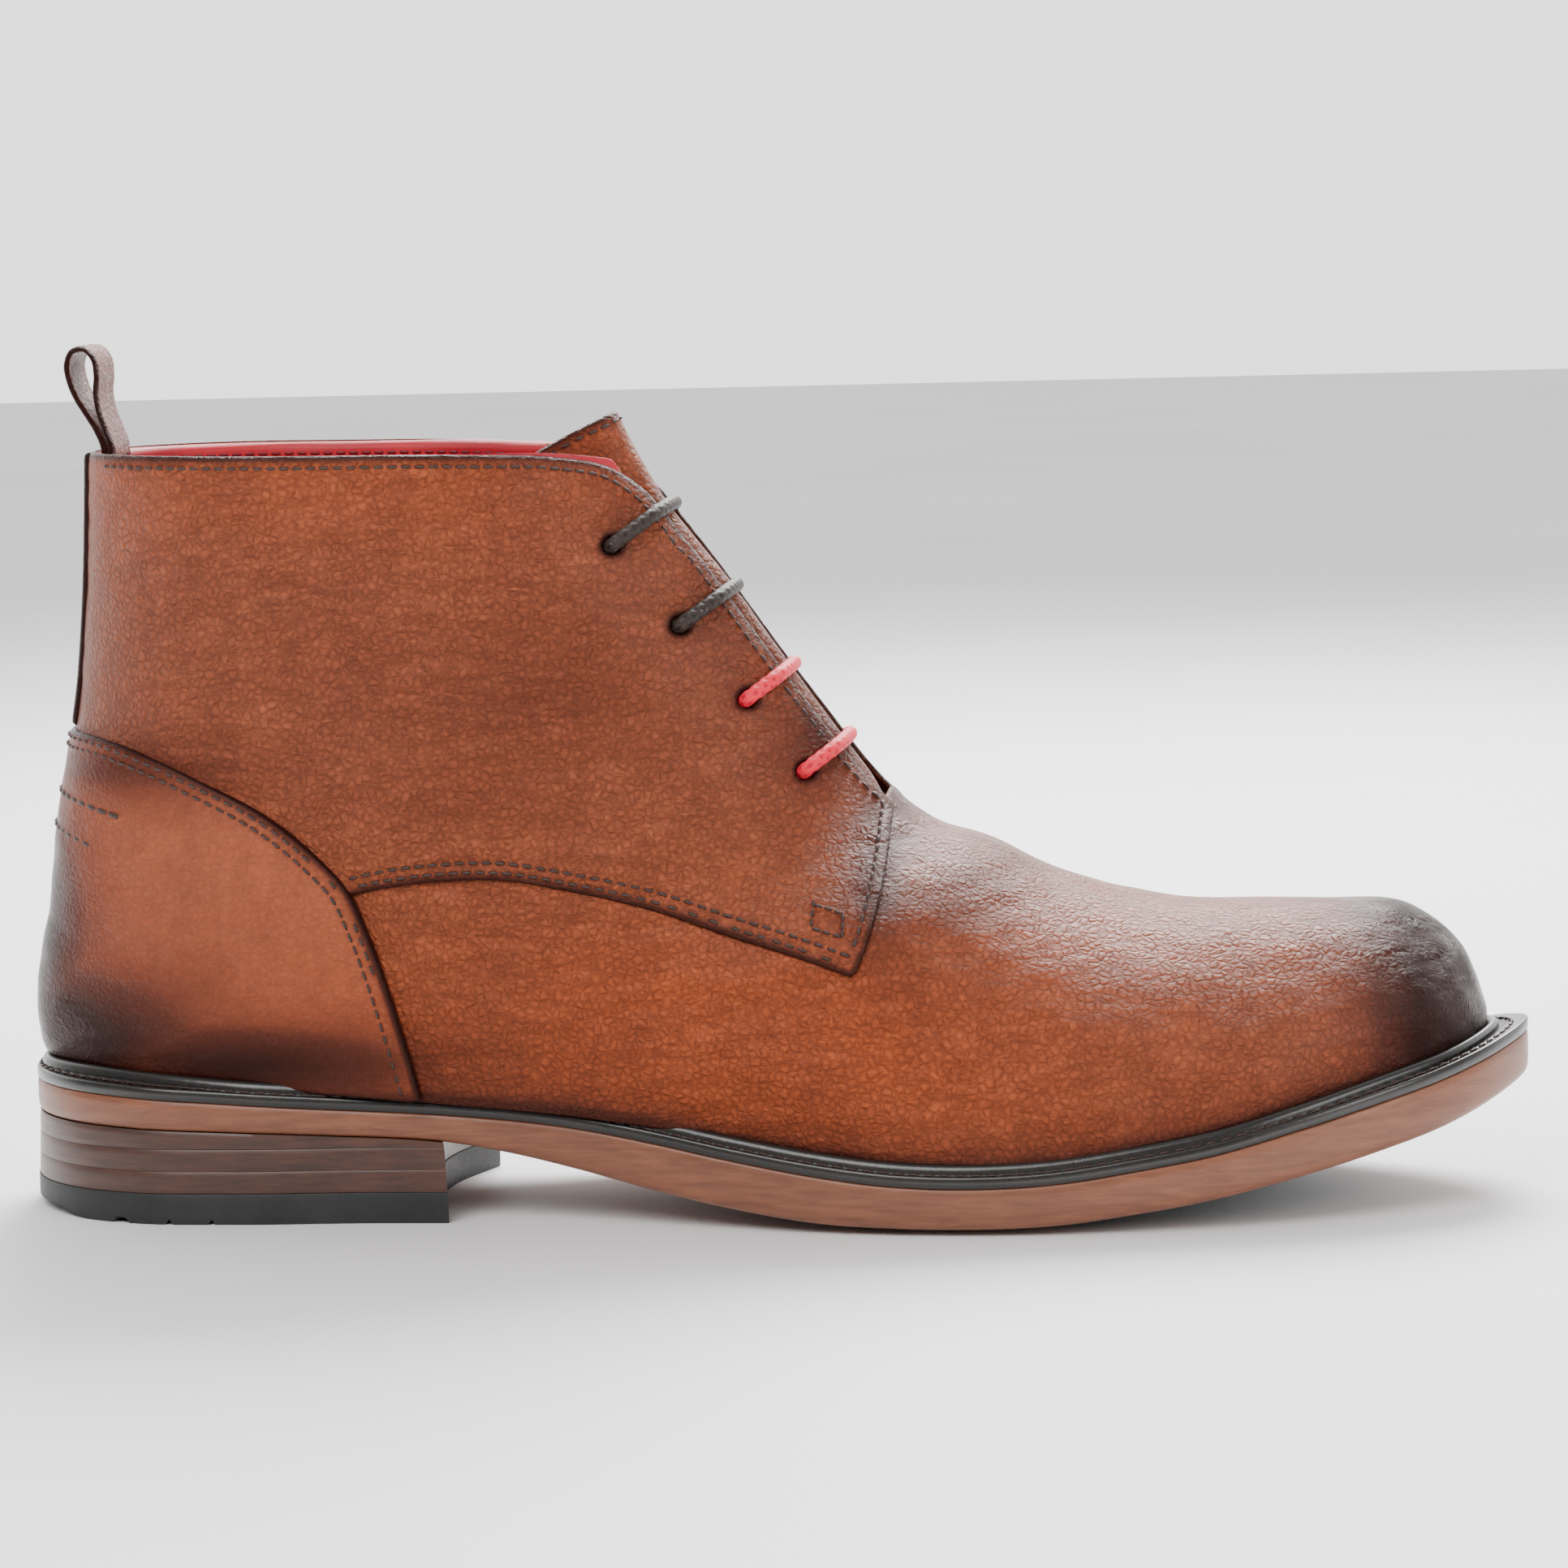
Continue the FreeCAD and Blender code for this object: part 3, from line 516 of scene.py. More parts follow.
def placeOf(nodes, links, stretch=(1, 1, 1), turn=(0, 0, 0)):
    where = nodes.new("ShaderNodeTexCoord")
    mapping = nodes.new("ShaderNodeMapping")
    mapping.inputs["Scale"].default_value = stretch
    mapping.inputs["Rotation"].default_value = turn
    links.new(where.outputs["Object"], mapping.inputs["Vector"])
    return mapping.outputs["Vector"]


def bumps(nodes, links, height, strength, distance, before=None):
    made = nodes.new("ShaderNodeBump")
    made.inputs["Strength"].default_value = strength
    made.inputs["Distance"].default_value = distance
    links.new(height, made.inputs["Height"])
    if before is not None:
        links.new(before, made.inputs["Normal"])
    return made.outputs["Normal"]


# the darkest leather colour serves the burnish and the painted shade in grain grooves and crease lines
leather = {
    "cognac": (0.37, 0.088, 0.036), "amber": (0.50, 0.094, 0.025), "shade": (0.115, 0.024, 0.012),
    "burnishAndShade": (0.020, 0.0045, 0.0035), "grain": 620, "pores": 2100,
    "grainDepth": 0.00042, "creaseDepth": 0.0006, "roughness": 0.36,
}


def burnishedLeather(name="burnishedLeather", grainAmount=1.0, darker=0.0):
    material, nodes, links, shader = newMaterial(name)
    place = placeOf(nodes, links)
    burnish = nodes.new("ShaderNodeAttribute")
    burnish.attribute_name = "burnish"
    warm = nodes.new("ShaderNodeAttribute")
    warm.attribute_name = "warmth"
    cloud = noiseAt(nodes, links, place, 38, 5, 0.6, 0.4)
    streak = noiseAt(nodes, links, placeOf(nodes, links, (1, 1, 0.35), (0, 0.5, 0)), 120, 4, 0.6, 0.8)
    patch = noiseAt(nodes, links, place, 420, 3, 0.6)
    base = mixColour(nodes, links, warm.outputs["Fac"], leather["cognac"], leather["amber"])
    drift = maths(nodes, links, "MULTIPLY_ADD", cloud, 1.5, -0.52, clamp=True)
    drift = maths(nodes, links, "MULTIPLY", drift, 0.5)
    base = mixColour(nodes, links, drift, base, leather["shade"])
    fleck = maths(nodes, links, "MULTIPLY_ADD", streak, 1.8, -0.75, clamp=True)
    fleck = maths(nodes, links, "MULTIPLY", fleck, 0.45)
    base = mixColour(nodes, links, fleck, base, leather["shade"])
    speck = maths(nodes, links, "MULTIPLY_ADD", patch, 2.2, -0.98, clamp=True)
    speck = maths(nodes, links, "MULTIPLY", speck, 0.35)
    base = mixColour(nodes, links, speck, base, leather["shade"])
    uneven = maths(nodes, links, "MULTIPLY_ADD", cloud, 0.5, -0.25)
    amount = maths(nodes, links, "ADD", burnish.outputs["Fac"], uneven)
    fade = maths(nodes, links, "MULTIPLY", amount, burnish.outputs["Fac"])
    total = maths(nodes, links, "ADD", fade, burnish.outputs["Fac"])
    total = maths(nodes, links, "MULTIPLY_ADD", total, 0.62, darker, clamp=True)
    soon = maths(nodes, links, "MULTIPLY", total, 1.7, clamp=True)
    half = mixColour(nodes, links, soon, base, leather["shade"])
    rest = maths(nodes, links, "MULTIPLY_ADD", total, 1.9, -0.85, clamp=True)
    colour = mixColour(nodes, links, rest, half, leather["burnishAndShade"])
    cells = nodes.new("ShaderNodeTexVoronoi")
    cells.feature = "DISTANCE_TO_EDGE"
    cells.inputs["Scale"].default_value = leather["grain"]
    wobble = nodes.new("ShaderNodeTexNoise")
    wobble.inputs["Scale"].default_value = 300
    links.new(place, wobble.inputs["Vector"])
    bend = mixColour(nodes, links, 0.0016, (0, 0, 0), wobble.outputs["Color"])
    shifted = nodes.new("ShaderNodeVectorMath")
    links.new(place, shifted.inputs[0])
    links.new(bend, shifted.inputs[1])
    links.new(shifted.outputs[0], cells.inputs["Vector"])
    pebble = maths(nodes, links, "MINIMUM", cells.outputs["Distance"], 0.28)
    pebble = maths(nodes, links, "MULTIPLY", pebble, 3.4)
    fine = noiseAt(nodes, links, place, leather["pores"], 4, 0.65)
    crease = noiseAt(nodes, links, placeOf(nodes, links, (0.5, 1, 1.7), (0, 0.45, 0)), 150, 6, 0.68, 1.6)
    creaseLine = maths(nodes, links, "ABSOLUTE", maths(nodes, links, "SUBTRACT", crease, 0.5))
    creaseLine = maths(nodes, links, "MULTIPLY", creaseLine, 7, clamp=True)
    smoothHere = maths(nodes, links, "MULTIPLY_ADD", total, -0.75, 1.0, clamp=True)
    grainHeight = maths(nodes, links, "MULTIPLY", maths(nodes, links, "ADD", pebble,
                        maths(nodes, links, "MULTIPLY", fine, 0.55)), smoothHere)
    lines = bumps(nodes, links, creaseLine, 0.6 * grainAmount, leather["creaseDepth"])
    normal = bumps(nodes, links, grainHeight, 0.8 * grainAmount, leather["grainDepth"], lines)
    # painted shade: the grooves between the grain cells are darkened in the base colour
    grooveShade = maths(nodes, links, "MULTIPLY_ADD", pebble, -1.0, 1.0, clamp=True)
    grooveShade = maths(nodes, links, "MULTIPLY", grooveShade, 0.36 * grainAmount)
    colour = mixColour(nodes, links, grooveShade, colour, leather["burnishAndShade"])
    # painted shade: the crease lines are darkened in the base colour
    wrinkle = maths(nodes, links, "MULTIPLY", creaseLine, 4.5, clamp=True)
    creaseShade = maths(nodes, links, "MULTIPLY_ADD", wrinkle, -0.36 * grainAmount, 0.36 * grainAmount, clamp=True)
    colour = mixColour(nodes, links, creaseShade, colour, leather["burnishAndShade"])
    links.new(colour, shader.inputs["Base Color"])
    gloss = maths(nodes, links, "MULTIPLY_ADD", patch, 0.22, leather["roughness"] - 0.1)
    gloss = maths(nodes, links, "SUBTRACT", gloss, maths(nodes, links, "MULTIPLY", total, 0.15))
    links.new(gloss, shader.inputs["Roughness"])
    links.new(normal, shader.inputs["Normal"])
    shader.inputs["Coat Weight"].default_value = 0.04
    shader.inputs["Coat Roughness"].default_value = 0.22
    links.new(maths(nodes, links, "MULTIPLY_ADD", total, -0.17, 0.27), shader.inputs["Specular IOR Level"])
    shader.inputs["Specular Tint"].default_value = (1.0, 0.80, 0.70, 1.0)
    return material


def plainLeather(name, light, dark, roughness, grain=900, depth=0.00008, mottling=60, coat=0.0):
    material, nodes, links, shader = newMaterial(name)
    place = placeOf(nodes, links)
    cloud = noiseAt(nodes, links, place, mottling, 5, 0.6, 0.5)
    colour = ramp(nodes, links, cloud, [(0.3, dark), (0.68, light)])
    fine = noiseAt(nodes, links, place, grain, 5, 0.6)
    colour = mixColour(nodes, links, maths(nodes, links, "MULTIPLY", fine, 0.3), colour, dark)
    links.new(colour, shader.inputs["Base Color"])
    links.new(maths(nodes, links, "MULTIPLY_ADD", fine, 0.2, roughness - 0.1), shader.inputs["Roughness"])
    links.new(bumps(nodes, links, fine, 0.6, depth), shader.inputs["Normal"])
    shader.inputs["Coat Weight"].default_value = coat
    shader.inputs["Coat Roughness"].default_value = 0.25
    return material


def layeredEdge(name, light, dark, spacing, roughness=0.42):
    material, nodes, links, shader = newMaterial(name)
    place = placeOf(nodes, links, (1, 1, 9))
    fibre = noiseAt(nodes, links, place, 90, 6, 0.65, 0.3)
    cloud = noiseAt(nodes, links, placeOf(nodes, links), 45, 4, 0.6, 0.3)
    colour = ramp(nodes, links, fibre, [(0.28, dark), (0.62, light)])
    patchy = maths(nodes, links, "MULTIPLY_ADD", cloud, 1.6, -0.55, clamp=True)
    colour = mixColour(nodes, links, maths(nodes, links, "MULTIPLY", patchy, 0.55), colour, dark)
    links.new(colour, shader.inputs["Base Color"])
    links.new(maths(nodes, links, "MULTIPLY_ADD", cloud, 0.25, roughness - 0.12), shader.inputs["Roughness"])
    links.new(bumps(nodes, links, fibre, 0.35, 0.0002), shader.inputs["Normal"])
    shader.inputs["Coat Weight"].default_value = 0.2
    shader.inputs["Coat Roughness"].default_value = 0.3
    return material


def cordMaterial(name, light, dark, fleck, roughness):
    material, nodes, links, shader = newMaterial(name)
    place = placeOf(nodes, links)
    # painted shade: the cord is darker in the grooves between braid strands and lighter on their crests
    braidShade = nodes.new("ShaderNodeAttribute")
    braidShade.attribute_name = "braidShade"
    colour = ramp(nodes, links, braidShade.outputs["Fac"], [(0.15, dark), (0.75, light)])
    spots = noiseAt(nodes, links, place, 1500, 3, 0.6)
    pick = maths(nodes, links, "MULTIPLY_ADD", spots, 9, -5.6, clamp=True)
    colour = mixColour(nodes, links, maths(nodes, links, "MULTIPLY", pick, 0.6), colour, fleck)
    links.new(colour, shader.inputs["Base Color"])
    fuzz = noiseAt(nodes, links, place, 4200, 3, 0.6)
    links.new(maths(nodes, links, "MULTIPLY_ADD", fuzz, 0.25, roughness - 0.1), shader.inputs["Roughness"])
    links.new(bumps(nodes, links, fuzz, 0.5, 0.00012), shader.inputs["Normal"])
    shader.inputs["Specular IOR Level"].default_value = 0.25
    return material


def rubberMaterial():
    material, nodes, links, shader = newMaterial("mouldedRubber")
    place = placeOf(nodes, links)
    cloud = noiseAt(nodes, links, place, 70, 4, 0.6)
    links.new(ramp(nodes, links, cloud, [(0.3, (0.008, 0.009, 0.0085)), (0.75, (0.020, 0.022, 0.021))]),
              shader.inputs["Base Color"])
    grit = noiseAt(nodes, links, place, 1400, 3, 0.6)
    links.new(maths(nodes, links, "MULTIPLY_ADD", grit, 0.3, 0.42), shader.inputs["Roughness"])
    links.new(bumps(nodes, links, grit, 0.4, 0.00012), shader.inputs["Normal"])
    return material


upperLeather = burnishedLeather()
counterLeather = burnishedLeather("polishedLeather", 0.45)
liningRed = plainLeather("liningRed", (0.52, 0.006, 0.022), (0.32, 0.003, 0.013), 0.55)
weltBlack = plainLeather("weltBlack", (0.017, 0.014, 0.012), (0.006, 0.005, 0.0045), 0.3, 700, 0.0001, 40,
                         0.3)
soleTan = layeredEdge("soleTan", (0.24, 0.082, 0.037), (0.13, 0.040, 0.018), 1)
heelBrown = layeredEdge("heelBrown", (0.085, 0.030, 0.016), (0.030, 0.011, 0.007), 1)
blackRubber = rubberMaterial()
threadBrown = plainLeather("threadBrown", (0.050, 0.016, 0.010), (0.018, 0.007, 0.005), 0.45, 5000, 0.00008,
                           900)
threadRed = plainLeather("threadRed", (0.20, 0.006, 0.016), (0.10, 0.003, 0.010), 0.5, 5000, 0.00008, 900)
cordBrown = cordMaterial("cordBrown", (0.030, 0.020, 0.016), (0.008, 0.005, 0.004), (0.30, 0.24, 0.20), 0.5)
cordRed = cordMaterial("cordRed", (0.80, 0.020, 0.045), (0.45, 0.006, 0.018), (0.90, 0.16, 0.18), 0.5)
boardTan = plainLeather("boardTan", (0.42, 0.28, 0.16), (0.30, 0.19, 0.11), 0.7)
corkMaterial = plainLeather("corkGrain", (0.50, 0.32, 0.18), (0.22, 0.12, 0.06), 0.8, 500, 0.0002, 300)
steelMaterial = plainLeather("springSteel", (0.42, 0.42, 0.43), (0.30, 0.30, 0.31), 0.35, 300, 0.00002)
print("materials mixed")

# ---- lines of the upper, in side view
upper = {
    "front": [(181.4, 96), (181.6, 80), (181.3, 72), (180.2, 64), (178.4, 57), (175.9, 50.9)],
    "low": [(175.9, 50.9), (167, 54.1), (151, 59), (134.9, 64.2), (118.4, 67.9), (105.3, 70), (93.7, 69.9),
            (82, 68.6), (72, 66.5)],
    "underCounter": [(73, 60), (77, 49), (80, 39), (83, 27), (85, 12)],
    "collar": [(-15, 155.6), (60, 155), (100, 154.4), (117, 153.2), (126, 151), (132, 146.8), (137, 141.2),
               (141, 135.5)],
    "counter": [(-12, 99), (10.1, 98.9), (20.2, 98), (30.1, 95.4), (43.2, 90), (57.1, 82.6), (67.2, 74.6),
                (73, 68.6), (77.1, 60.1), (80.9, 49.4), (83.7, 39.3), (86.6, 27), (89, 12)],
    "vampBack": [(184, 96), (179.5, 82.5), (164, 66), (151, 70), (134.9, 75.2), (118.4, 79), (105.3, 81),
                 (93.7, 80.9), (80, 79.5), (66, 66)],
    "tongue": [(190, 78), (182, 64), (166, 82), (146, 108), (128, 133), (109, 152.5), (124.5, 163.5),
               (140, 172), (200, 130)],
    "tongueTop": [(106, 150), (109, 152.5), (124.5, 163.5), (140, 172)],
    "gap": 8.5, "stripHalf": 6.5, "stripLow": 99.2,
    "holes": [(127.1, 135.4), (140.2, 119), (153.2, 103.8), (164.6, 89.2)], "holeSize": 3.4,
    "liningIn": 0.1, "liningOut": 2.0, "upperIn": 2.1, "vampOut": 3.15, "quarterOut": 4.3, "counterOut": 5.4,
    "tongueOut": -4.4, "tongueMid": -5.7, "tongueIn": -6.7,
}
sole = {
    "weltTop": [(-10, 30.6), (12, 30.6), (33, 29.7), (67, 27.4), (92, 25.8), (117, 23.8), (134, 21.4),
                (150, 18.5),
                (167, 15.9), (183, 14.3), (199, 13.9), (215, 14.9), (231, 17.3), (247, 20), (262, 23.7),
                (278, 28), (294, 32.3), (306, 36.5), (320, 43)],
    "top": [(-10, 26.2), (12, 26.2), (33, 25.3), (67, 23.2), (92, 21.8), (117, 19.6), (134, 17), (150, 14.2),
            (167, 11.6), (183, 9.9), (199, 9.5), (215, 10.3), (231, 12.5), (247, 15.2), (262, 18.9),
            (278, 23), (294, 27.2),
            (306, 31.2), (320, 37.5)],
    "bottom": [(-10, 19.6), (12, 19.6), (33, 19.1), (67, 17.8), (92, 16.2), (104, 14.2), (118, 11.2),
               (134, 7.4), (150, 4.4), (167, 2.2), (183, 1.5), (199, 1.4), (215, 2), (231, 3.9),
               (247, 6.4), (262, 9.6), (278, 13.4),
               (294, 17.8), (306, 22.6), (320, 29)],
    "plan": [(0, 0), (3.5, -14), (12, -25), (27, -33), (48, -35), (75, -34), (100, -34.5), (125, -38.5),
             (150, -45), (175, -50.5), (200, -52.5), (225, -51), (250, -46.5), (272, -38.5), (290, -27),
             (302, -13), (308, 3), (302.5, 19), (290, 31), (270, 39.5), (247, 45), (222, 48.3), (198, 48.5),
             (176, 46.5), (155, 41), (133, 33.5), (110, 29), (85, 29.5), (50, 34), (27, 33), (12, 25),
             (3.5, 14)],
    "around": 640,
}
frontLine, lowLine = curveThrough(upper["front"]), curveThrough(upper["low"])
hiddenLine, collarLine = curveThrough(upper["underCounter"]), curveThrough(upper["collar"])
counterLine, vampLine = curveThrough(upper["counter"]), curveThrough(upper["vampBack"])
tongueTopLine = curveThrough(upper["tongueTop"])
middleColumn = (form["columns"] - 1) // 2


def burnishAt(points):
    x, z = points[:, 0], points[:, 2]
    y = points[:, 1] - centreAt(x)
    total = np.zeros(len(x))
    for (cx, cz, rx, rz, amount) in leather["burnishSpots"]:
        total = np.maximum(total, amount * np.exp(-(((x - cx) / rx)**2 + ((z - cz) / rz)**2)))
    toe = ease(x - 0.5 * np.abs(y - 2) * 0.4, 248, 292)
    total = np.maximum(total, toe * leather["toeBurnish"])
    nearWelt = z - heightOf(sole["weltTop"], x)
    total = np.maximum(total, 0.65 * np.exp(-np.maximum(nearWelt, 0) / 5))
    return total


def warmthAt(points):
    x, z = points[:, 0], points[:, 2]
    low = np.exp(-(((x - 150) / 80)**2 + ((z - 36) / 26)**2))
    collar = 0.55 * ease(z, 125, 155)
    return np.clip(np.maximum(low * 1.2, collar), 0, 1)


leather["burnishSpots"] = [   # x, height, length, height reach, amount
    (-2, 60, 22, 34, 1.0), (6, 36, 46, 20, 0.95), (50, 32, 52, 12, 0.85), (24, 92, 36, 9, 0.6),
    (180, 72, 10, 26, 0.65), (168, 98, 12, 16, 0.6), (150, 118, 12, 16, 0.35), (196, 66, 18, 9, 0.5),
    (110, 110, 38, 20, 0.32), (60, 122, 22, 22, 0.15), (6, 128, 10, 34, 0.45), (128, 142, 10, 10, 0.25),
    (96, 86, 30, 8, 0.25),
]
leather["toeBurnish"] = 1.0


def leatherValues(points, depth, edgeDark=0.8, reach=1.6):
    edge = edgeDark * np.exp(-(np.asarray(depth) / reach)**2)
    return {"burnish": np.clip(np.maximum(burnishAt(points), edge), 0, 1), "warmth": warmthAt(points)}


def waves(points, size, amount, seed, stretch=(1, 1, 1)):
    draw = np.random.default_rng(seed)
    scaled = points * np.array(stretch)
    total = np.zeros(len(points))
    for k in range(16):
        way = draw.normal(size=3)
        way /= np.linalg.norm(way)
        total += np.sin(scaled @ way * (2 * np.pi / size) * draw.uniform(0.6, 1.7) + draw.uniform(0, 6.28))
    return amount * total / 4


def addLeather(name, field, inner, outer, material, body="boot", node=(), edgeDark=0.8, waviness=0.22,
               slotName="upper_leather", change=None, roundness=1.3, seenFromInside=False, **cut):
    sheet = cutSheet(field, **cut)
    base = sheet["at"]
    shape = waves(base, 34, waviness, 3) + waves(base, 11, waviness * 0.35, 4, (0.7, 1, 1.3))
    points, faces = layerSolid(sheet, inner, outer, roundness=roundness, shape=shape)
    if seenFromInside:
        faces = [face[::-1] for face in faces]
    depth = np.concatenate([sheet["depth"]] * 2)
    depth[len(base):] = np.maximum(depth[len(base):], 0)
    values = leatherValues(points, depth, edgeDark)
    values["burnish"][len(base):] = 0.4
    if change is not None:
        points = change(points)
    return makePiece(name, points, faces, material, body, values, node=node)


def weltHeight(x):
    return heightOf(sole["weltTop"], x)


# ---- quarters, with their low edges, facings and collar
quarterOutline = np.vstack([frontLine, lowLine[1:], hiddenLine, [(-25, 12), (-25, 155.6)], collarLine[1:],
                            [(215, 135.5), (215, 96)]])
qx, qy, qz = raisedSkin(upper["quarterOut"])
aboveWelt = qz - weltHeight(qx) + 1.5


def fromGap(x, y):
    return np.where(x > 80, np.abs(y) - upper["gap"], 1e3)      # the facings leave a gap at the front only


quarterField = np.minimum(signedTo(quarterOutline, qx, qz), fromGap(qx, qy))
facingDepth = np.minimum(np.minimum(distanceTo(collarLine, qx, qz), fromGap(qx, qy)),
                         distanceTo(frontLine, qx, qz))
lowDepth = distanceTo(lowLine, qx, qz)


def holeField(side):
    gap = np.hypot(qx - upper["holes"][0][0], qz - upper["holes"][0][1])
    for place in upper["holes"][1:]:
        gap = np.minimum(gap, np.hypot(qx - place[0], qz - place[1]))
    return np.where(np.sign(qy) == side, gap - upper["holeSize"] / 2, 1e3)


for side, label, first, last in ((-1, "lateral", 0, middleColumn), (1, "medial", middleColumn,
                                                                    form["columns"] - 1)):
    field = np.minimum(np.minimum(quarterField, aboveWelt), holeField(side))
    addLeather("quarter_" + label, field, upper["upperIn"] + 0.9, upper["quarterOut"], upperLeather,
               node=("quarter_" + label,), firstColumn=first, lastColumn=last)
print("quarters cut")

# ---- vamp
vx, vy, vz = raisedSkin(upper["vampOut"])
vampOutline = np.vstack([vampLine, [(66, -30), (340, -30), (340, 110), (184, 110)]])
vampField = np.minimum(signedTo(vampOutline, vx, vz), vz - weltHeight(vx) + 1.5)
addLeather("vamp", vampField, upper["upperIn"], upper["vampOut"], upperLeather, node=("vamp",), edgeDark=0.3,
           waviness=0.3)
print("vamp cut")

# ---- heel counter cover and back strip
cx, cy, cz = raisedSkin(upper["counterOut"])
counterSigned = signedTo(np.vstack([counterLine, [(-30, 12), (-30, 99)]]), cx, cz)
counterField = np.minimum(counterSigned, cz - weltHeight(cx) + 1.5)
addLeather("heel_counter_cover", counterField, upper["quarterOut"] - 1.0, upper["counterOut"], counterLeather,
           node=("heel_counter_cover",), edgeDark=0.9)
stripField = np.minimum(np.minimum(upper["stripHalf"] - np.abs(cy), cz - upper["stripLow"]),
                        np.minimum(155.2 - cz, 60 - cx))
addLeather("back_strip", stripField, upper["quarterOut"] - 0.6, upper["counterOut"], upperLeather,
           node=("back_strip",), edgeDark=1.0, waviness=0.1)
print("counter and strip cut")

# ---- linings
lx, ly, lz = raisedSkin(1.0)
liningOutline = np.vstack([collarLine - np.array([0, 0.3]), [(215, 135.5), (215, 96)], vampLine[:-16],
                           [(106, 80), (106, 10), (-30, 10), (-30, 155.3)]])
liningRoom = np.minimum(fromGap(lx, ly) - 0.4, lz - weltHeight(lx) + 0.5)
liningField = np.minimum(signedTo(liningOutline, lx, lz), liningRoom)


def liningBack(points):
    return upper["liningOut"] - 0.1 + 1.4 * ease(points[:, 2], 132, 146)


for side, label, first, last in ((-1, "lateral", 0, middleColumn), (1, "medial", middleColumn,
                                                                    form["columns"] - 1)):
    addLeather("quarter_lining_" + label, liningField, liningBack, upper["liningIn"], liningRed,
               node=("quarter_lining_" + label,), slotName="lining_leather", firstColumn=first,
               lastColumn=last, waviness=-0.12, roundness=1.6, seenFromInside=True)
vampLiningOutline = np.vstack([vampLine[:-16], [(106, 80), (106, -30), (340, -30), (340, 110), (184, 110)]])
vampLiningField = np.minimum(signedTo(vampLiningOutline, lx, lz), lz - weltHeight(lx) + 1)
addLeather("vamp_lining", vampLiningField, 1.1, upper["liningIn"], liningRed, node=("vamp_lining",),
           slotName="lining_leather", waviness=-0.1, seenFromInside=True)
print("linings cut")

# ---- tongue
tx, ty, tz = raisedSkin(upper["tongueOut"])
tongueField = signedTo(np.array(upper["tongue"], float), tx, tz)
tongueRows = int(form["rows"] * 0.56)


def liftTongue(points):
    moved = points.copy()
    sideway = points[:, 1] - centreAt(points[:, 0])
    z = points[:, 2]
    between = np.exp(-(sideway / 7.0)**4) * ease(z, 66, 86) * 6.6
    top = heightOf(upper["collar"][1:], points[:, 0])
    free = ease(z - top, -1.5, 7) * 6.0
    push = np.maximum(between, free) + 2.0 * np.exp(-(sideway / 7.0)**4) * ease(z, 138, 150) * 0.4
    moved[:, 0] += push * 0.9
    moved[:, 2] += push * 0.25
    return moved


addLeather("tongue", tongueField, upper["tongueMid"], upper["tongueOut"], upperLeather, "tongue", ("tongue",),
           change=liftTongue, lastRow=tongueRows, edgeDark=0.75, waviness=0.1)
addLeather("tongue_lining", tongueField, upper["tongueMid"] - 0.1, upper["tongueIn"], liningRed, "tongue",
           ("tongue_lining",), slotName="lining_leather", change=liftTongue, lastRow=tongueRows, waviness=0,
           seenFromInside=True)
print("tongue cut")

# ---- sole unit: welt with its bead, outsole, lifts, top lift
outline = closedCurve(sole["plan"], sole["around"])


def contourAt(offset, height):
    spot = skin + normals * offset[..., None]
    level = spot[..., 2] - height(spot[..., 0])
    found = linesAt(level, 0, np.ones(level.shape, bool), offset[..., None])
    line = max(found, key=lambda pair: len(pair[0]))[0]
    return np.vstack([line, line[:1]])


def spineOf(points, low=32, high=278):
    x = np.clip(points[:, 0], low, high)
    return np.stack([x, centreAt(x)], axis=1)


def ringStack(rings, closeEnds=True):
    points, faces = np.vstack(rings), []
    n = len(rings[0])
    for r in range(len(rings) - 1):
        for k in range(n):
            m = (k + 1) % n
            faces.append([r * n + k, r * n + m, (r + 1) * n + m, (r + 1) * n + k])
    if closeEnds:
        faces.append([k for k in reversed(range(n))])
        faces.append([(len(rings) - 1) * n + k for k in range(n)])
    return points, faces


def insetOutline(loop, inset):
    way = np.roll(loop, -1, axis=0) - np.roll(loop, 1, axis=0)
    way /= np.linalg.norm(way, axis=1, keepdims=True)
    return loop + np.stack([way[:, 1], -way[:, 0]], axis=1) * inset * insetSign


area = 0.5 * np.sum(outline[:, 0] * np.roll(outline[:, 1], -1) - outline[:, 1] * np.roll(outline[:, 0], -1))
insetSign = -1 if area > 0 else 1


def level(loop, height):
    return np.column_stack([loop, height])


def capRings(loop, height, shares=(0.12, 0.35, 0.62, 0.88)):
    spine = spineOf(loop)
    made = []
    for share in shares:
        drawn = loop + (spine - loop) * share
        made.append(level(drawn, height(drawn[:, 0])))
    return made


weltShape = {"narrowest": 3.6, "stitchPitch": 3.1, "stitchLength": 2.3, "stitchWidth": 0.8}
offsets = upper["vampOut"] + (upper["counterOut"] - upper["vampOut"]) * (1 - ease(skin[..., 0], 84, 92))
contour = contourAt(offsets, weltHeight)


def nearestOn(path, points):
    best = np.empty((len(points), 2))
    for k, point in enumerate(points):
        best[k] = path[np.argmin(((path - point)**2).sum(axis=1))]
    return best


def smoothLoop(values, passes=6):
    for _ in range(passes):
        values = (np.roll(values, 1, axis=0) + values + np.roll(values, -1, axis=0)) / 3
    return values


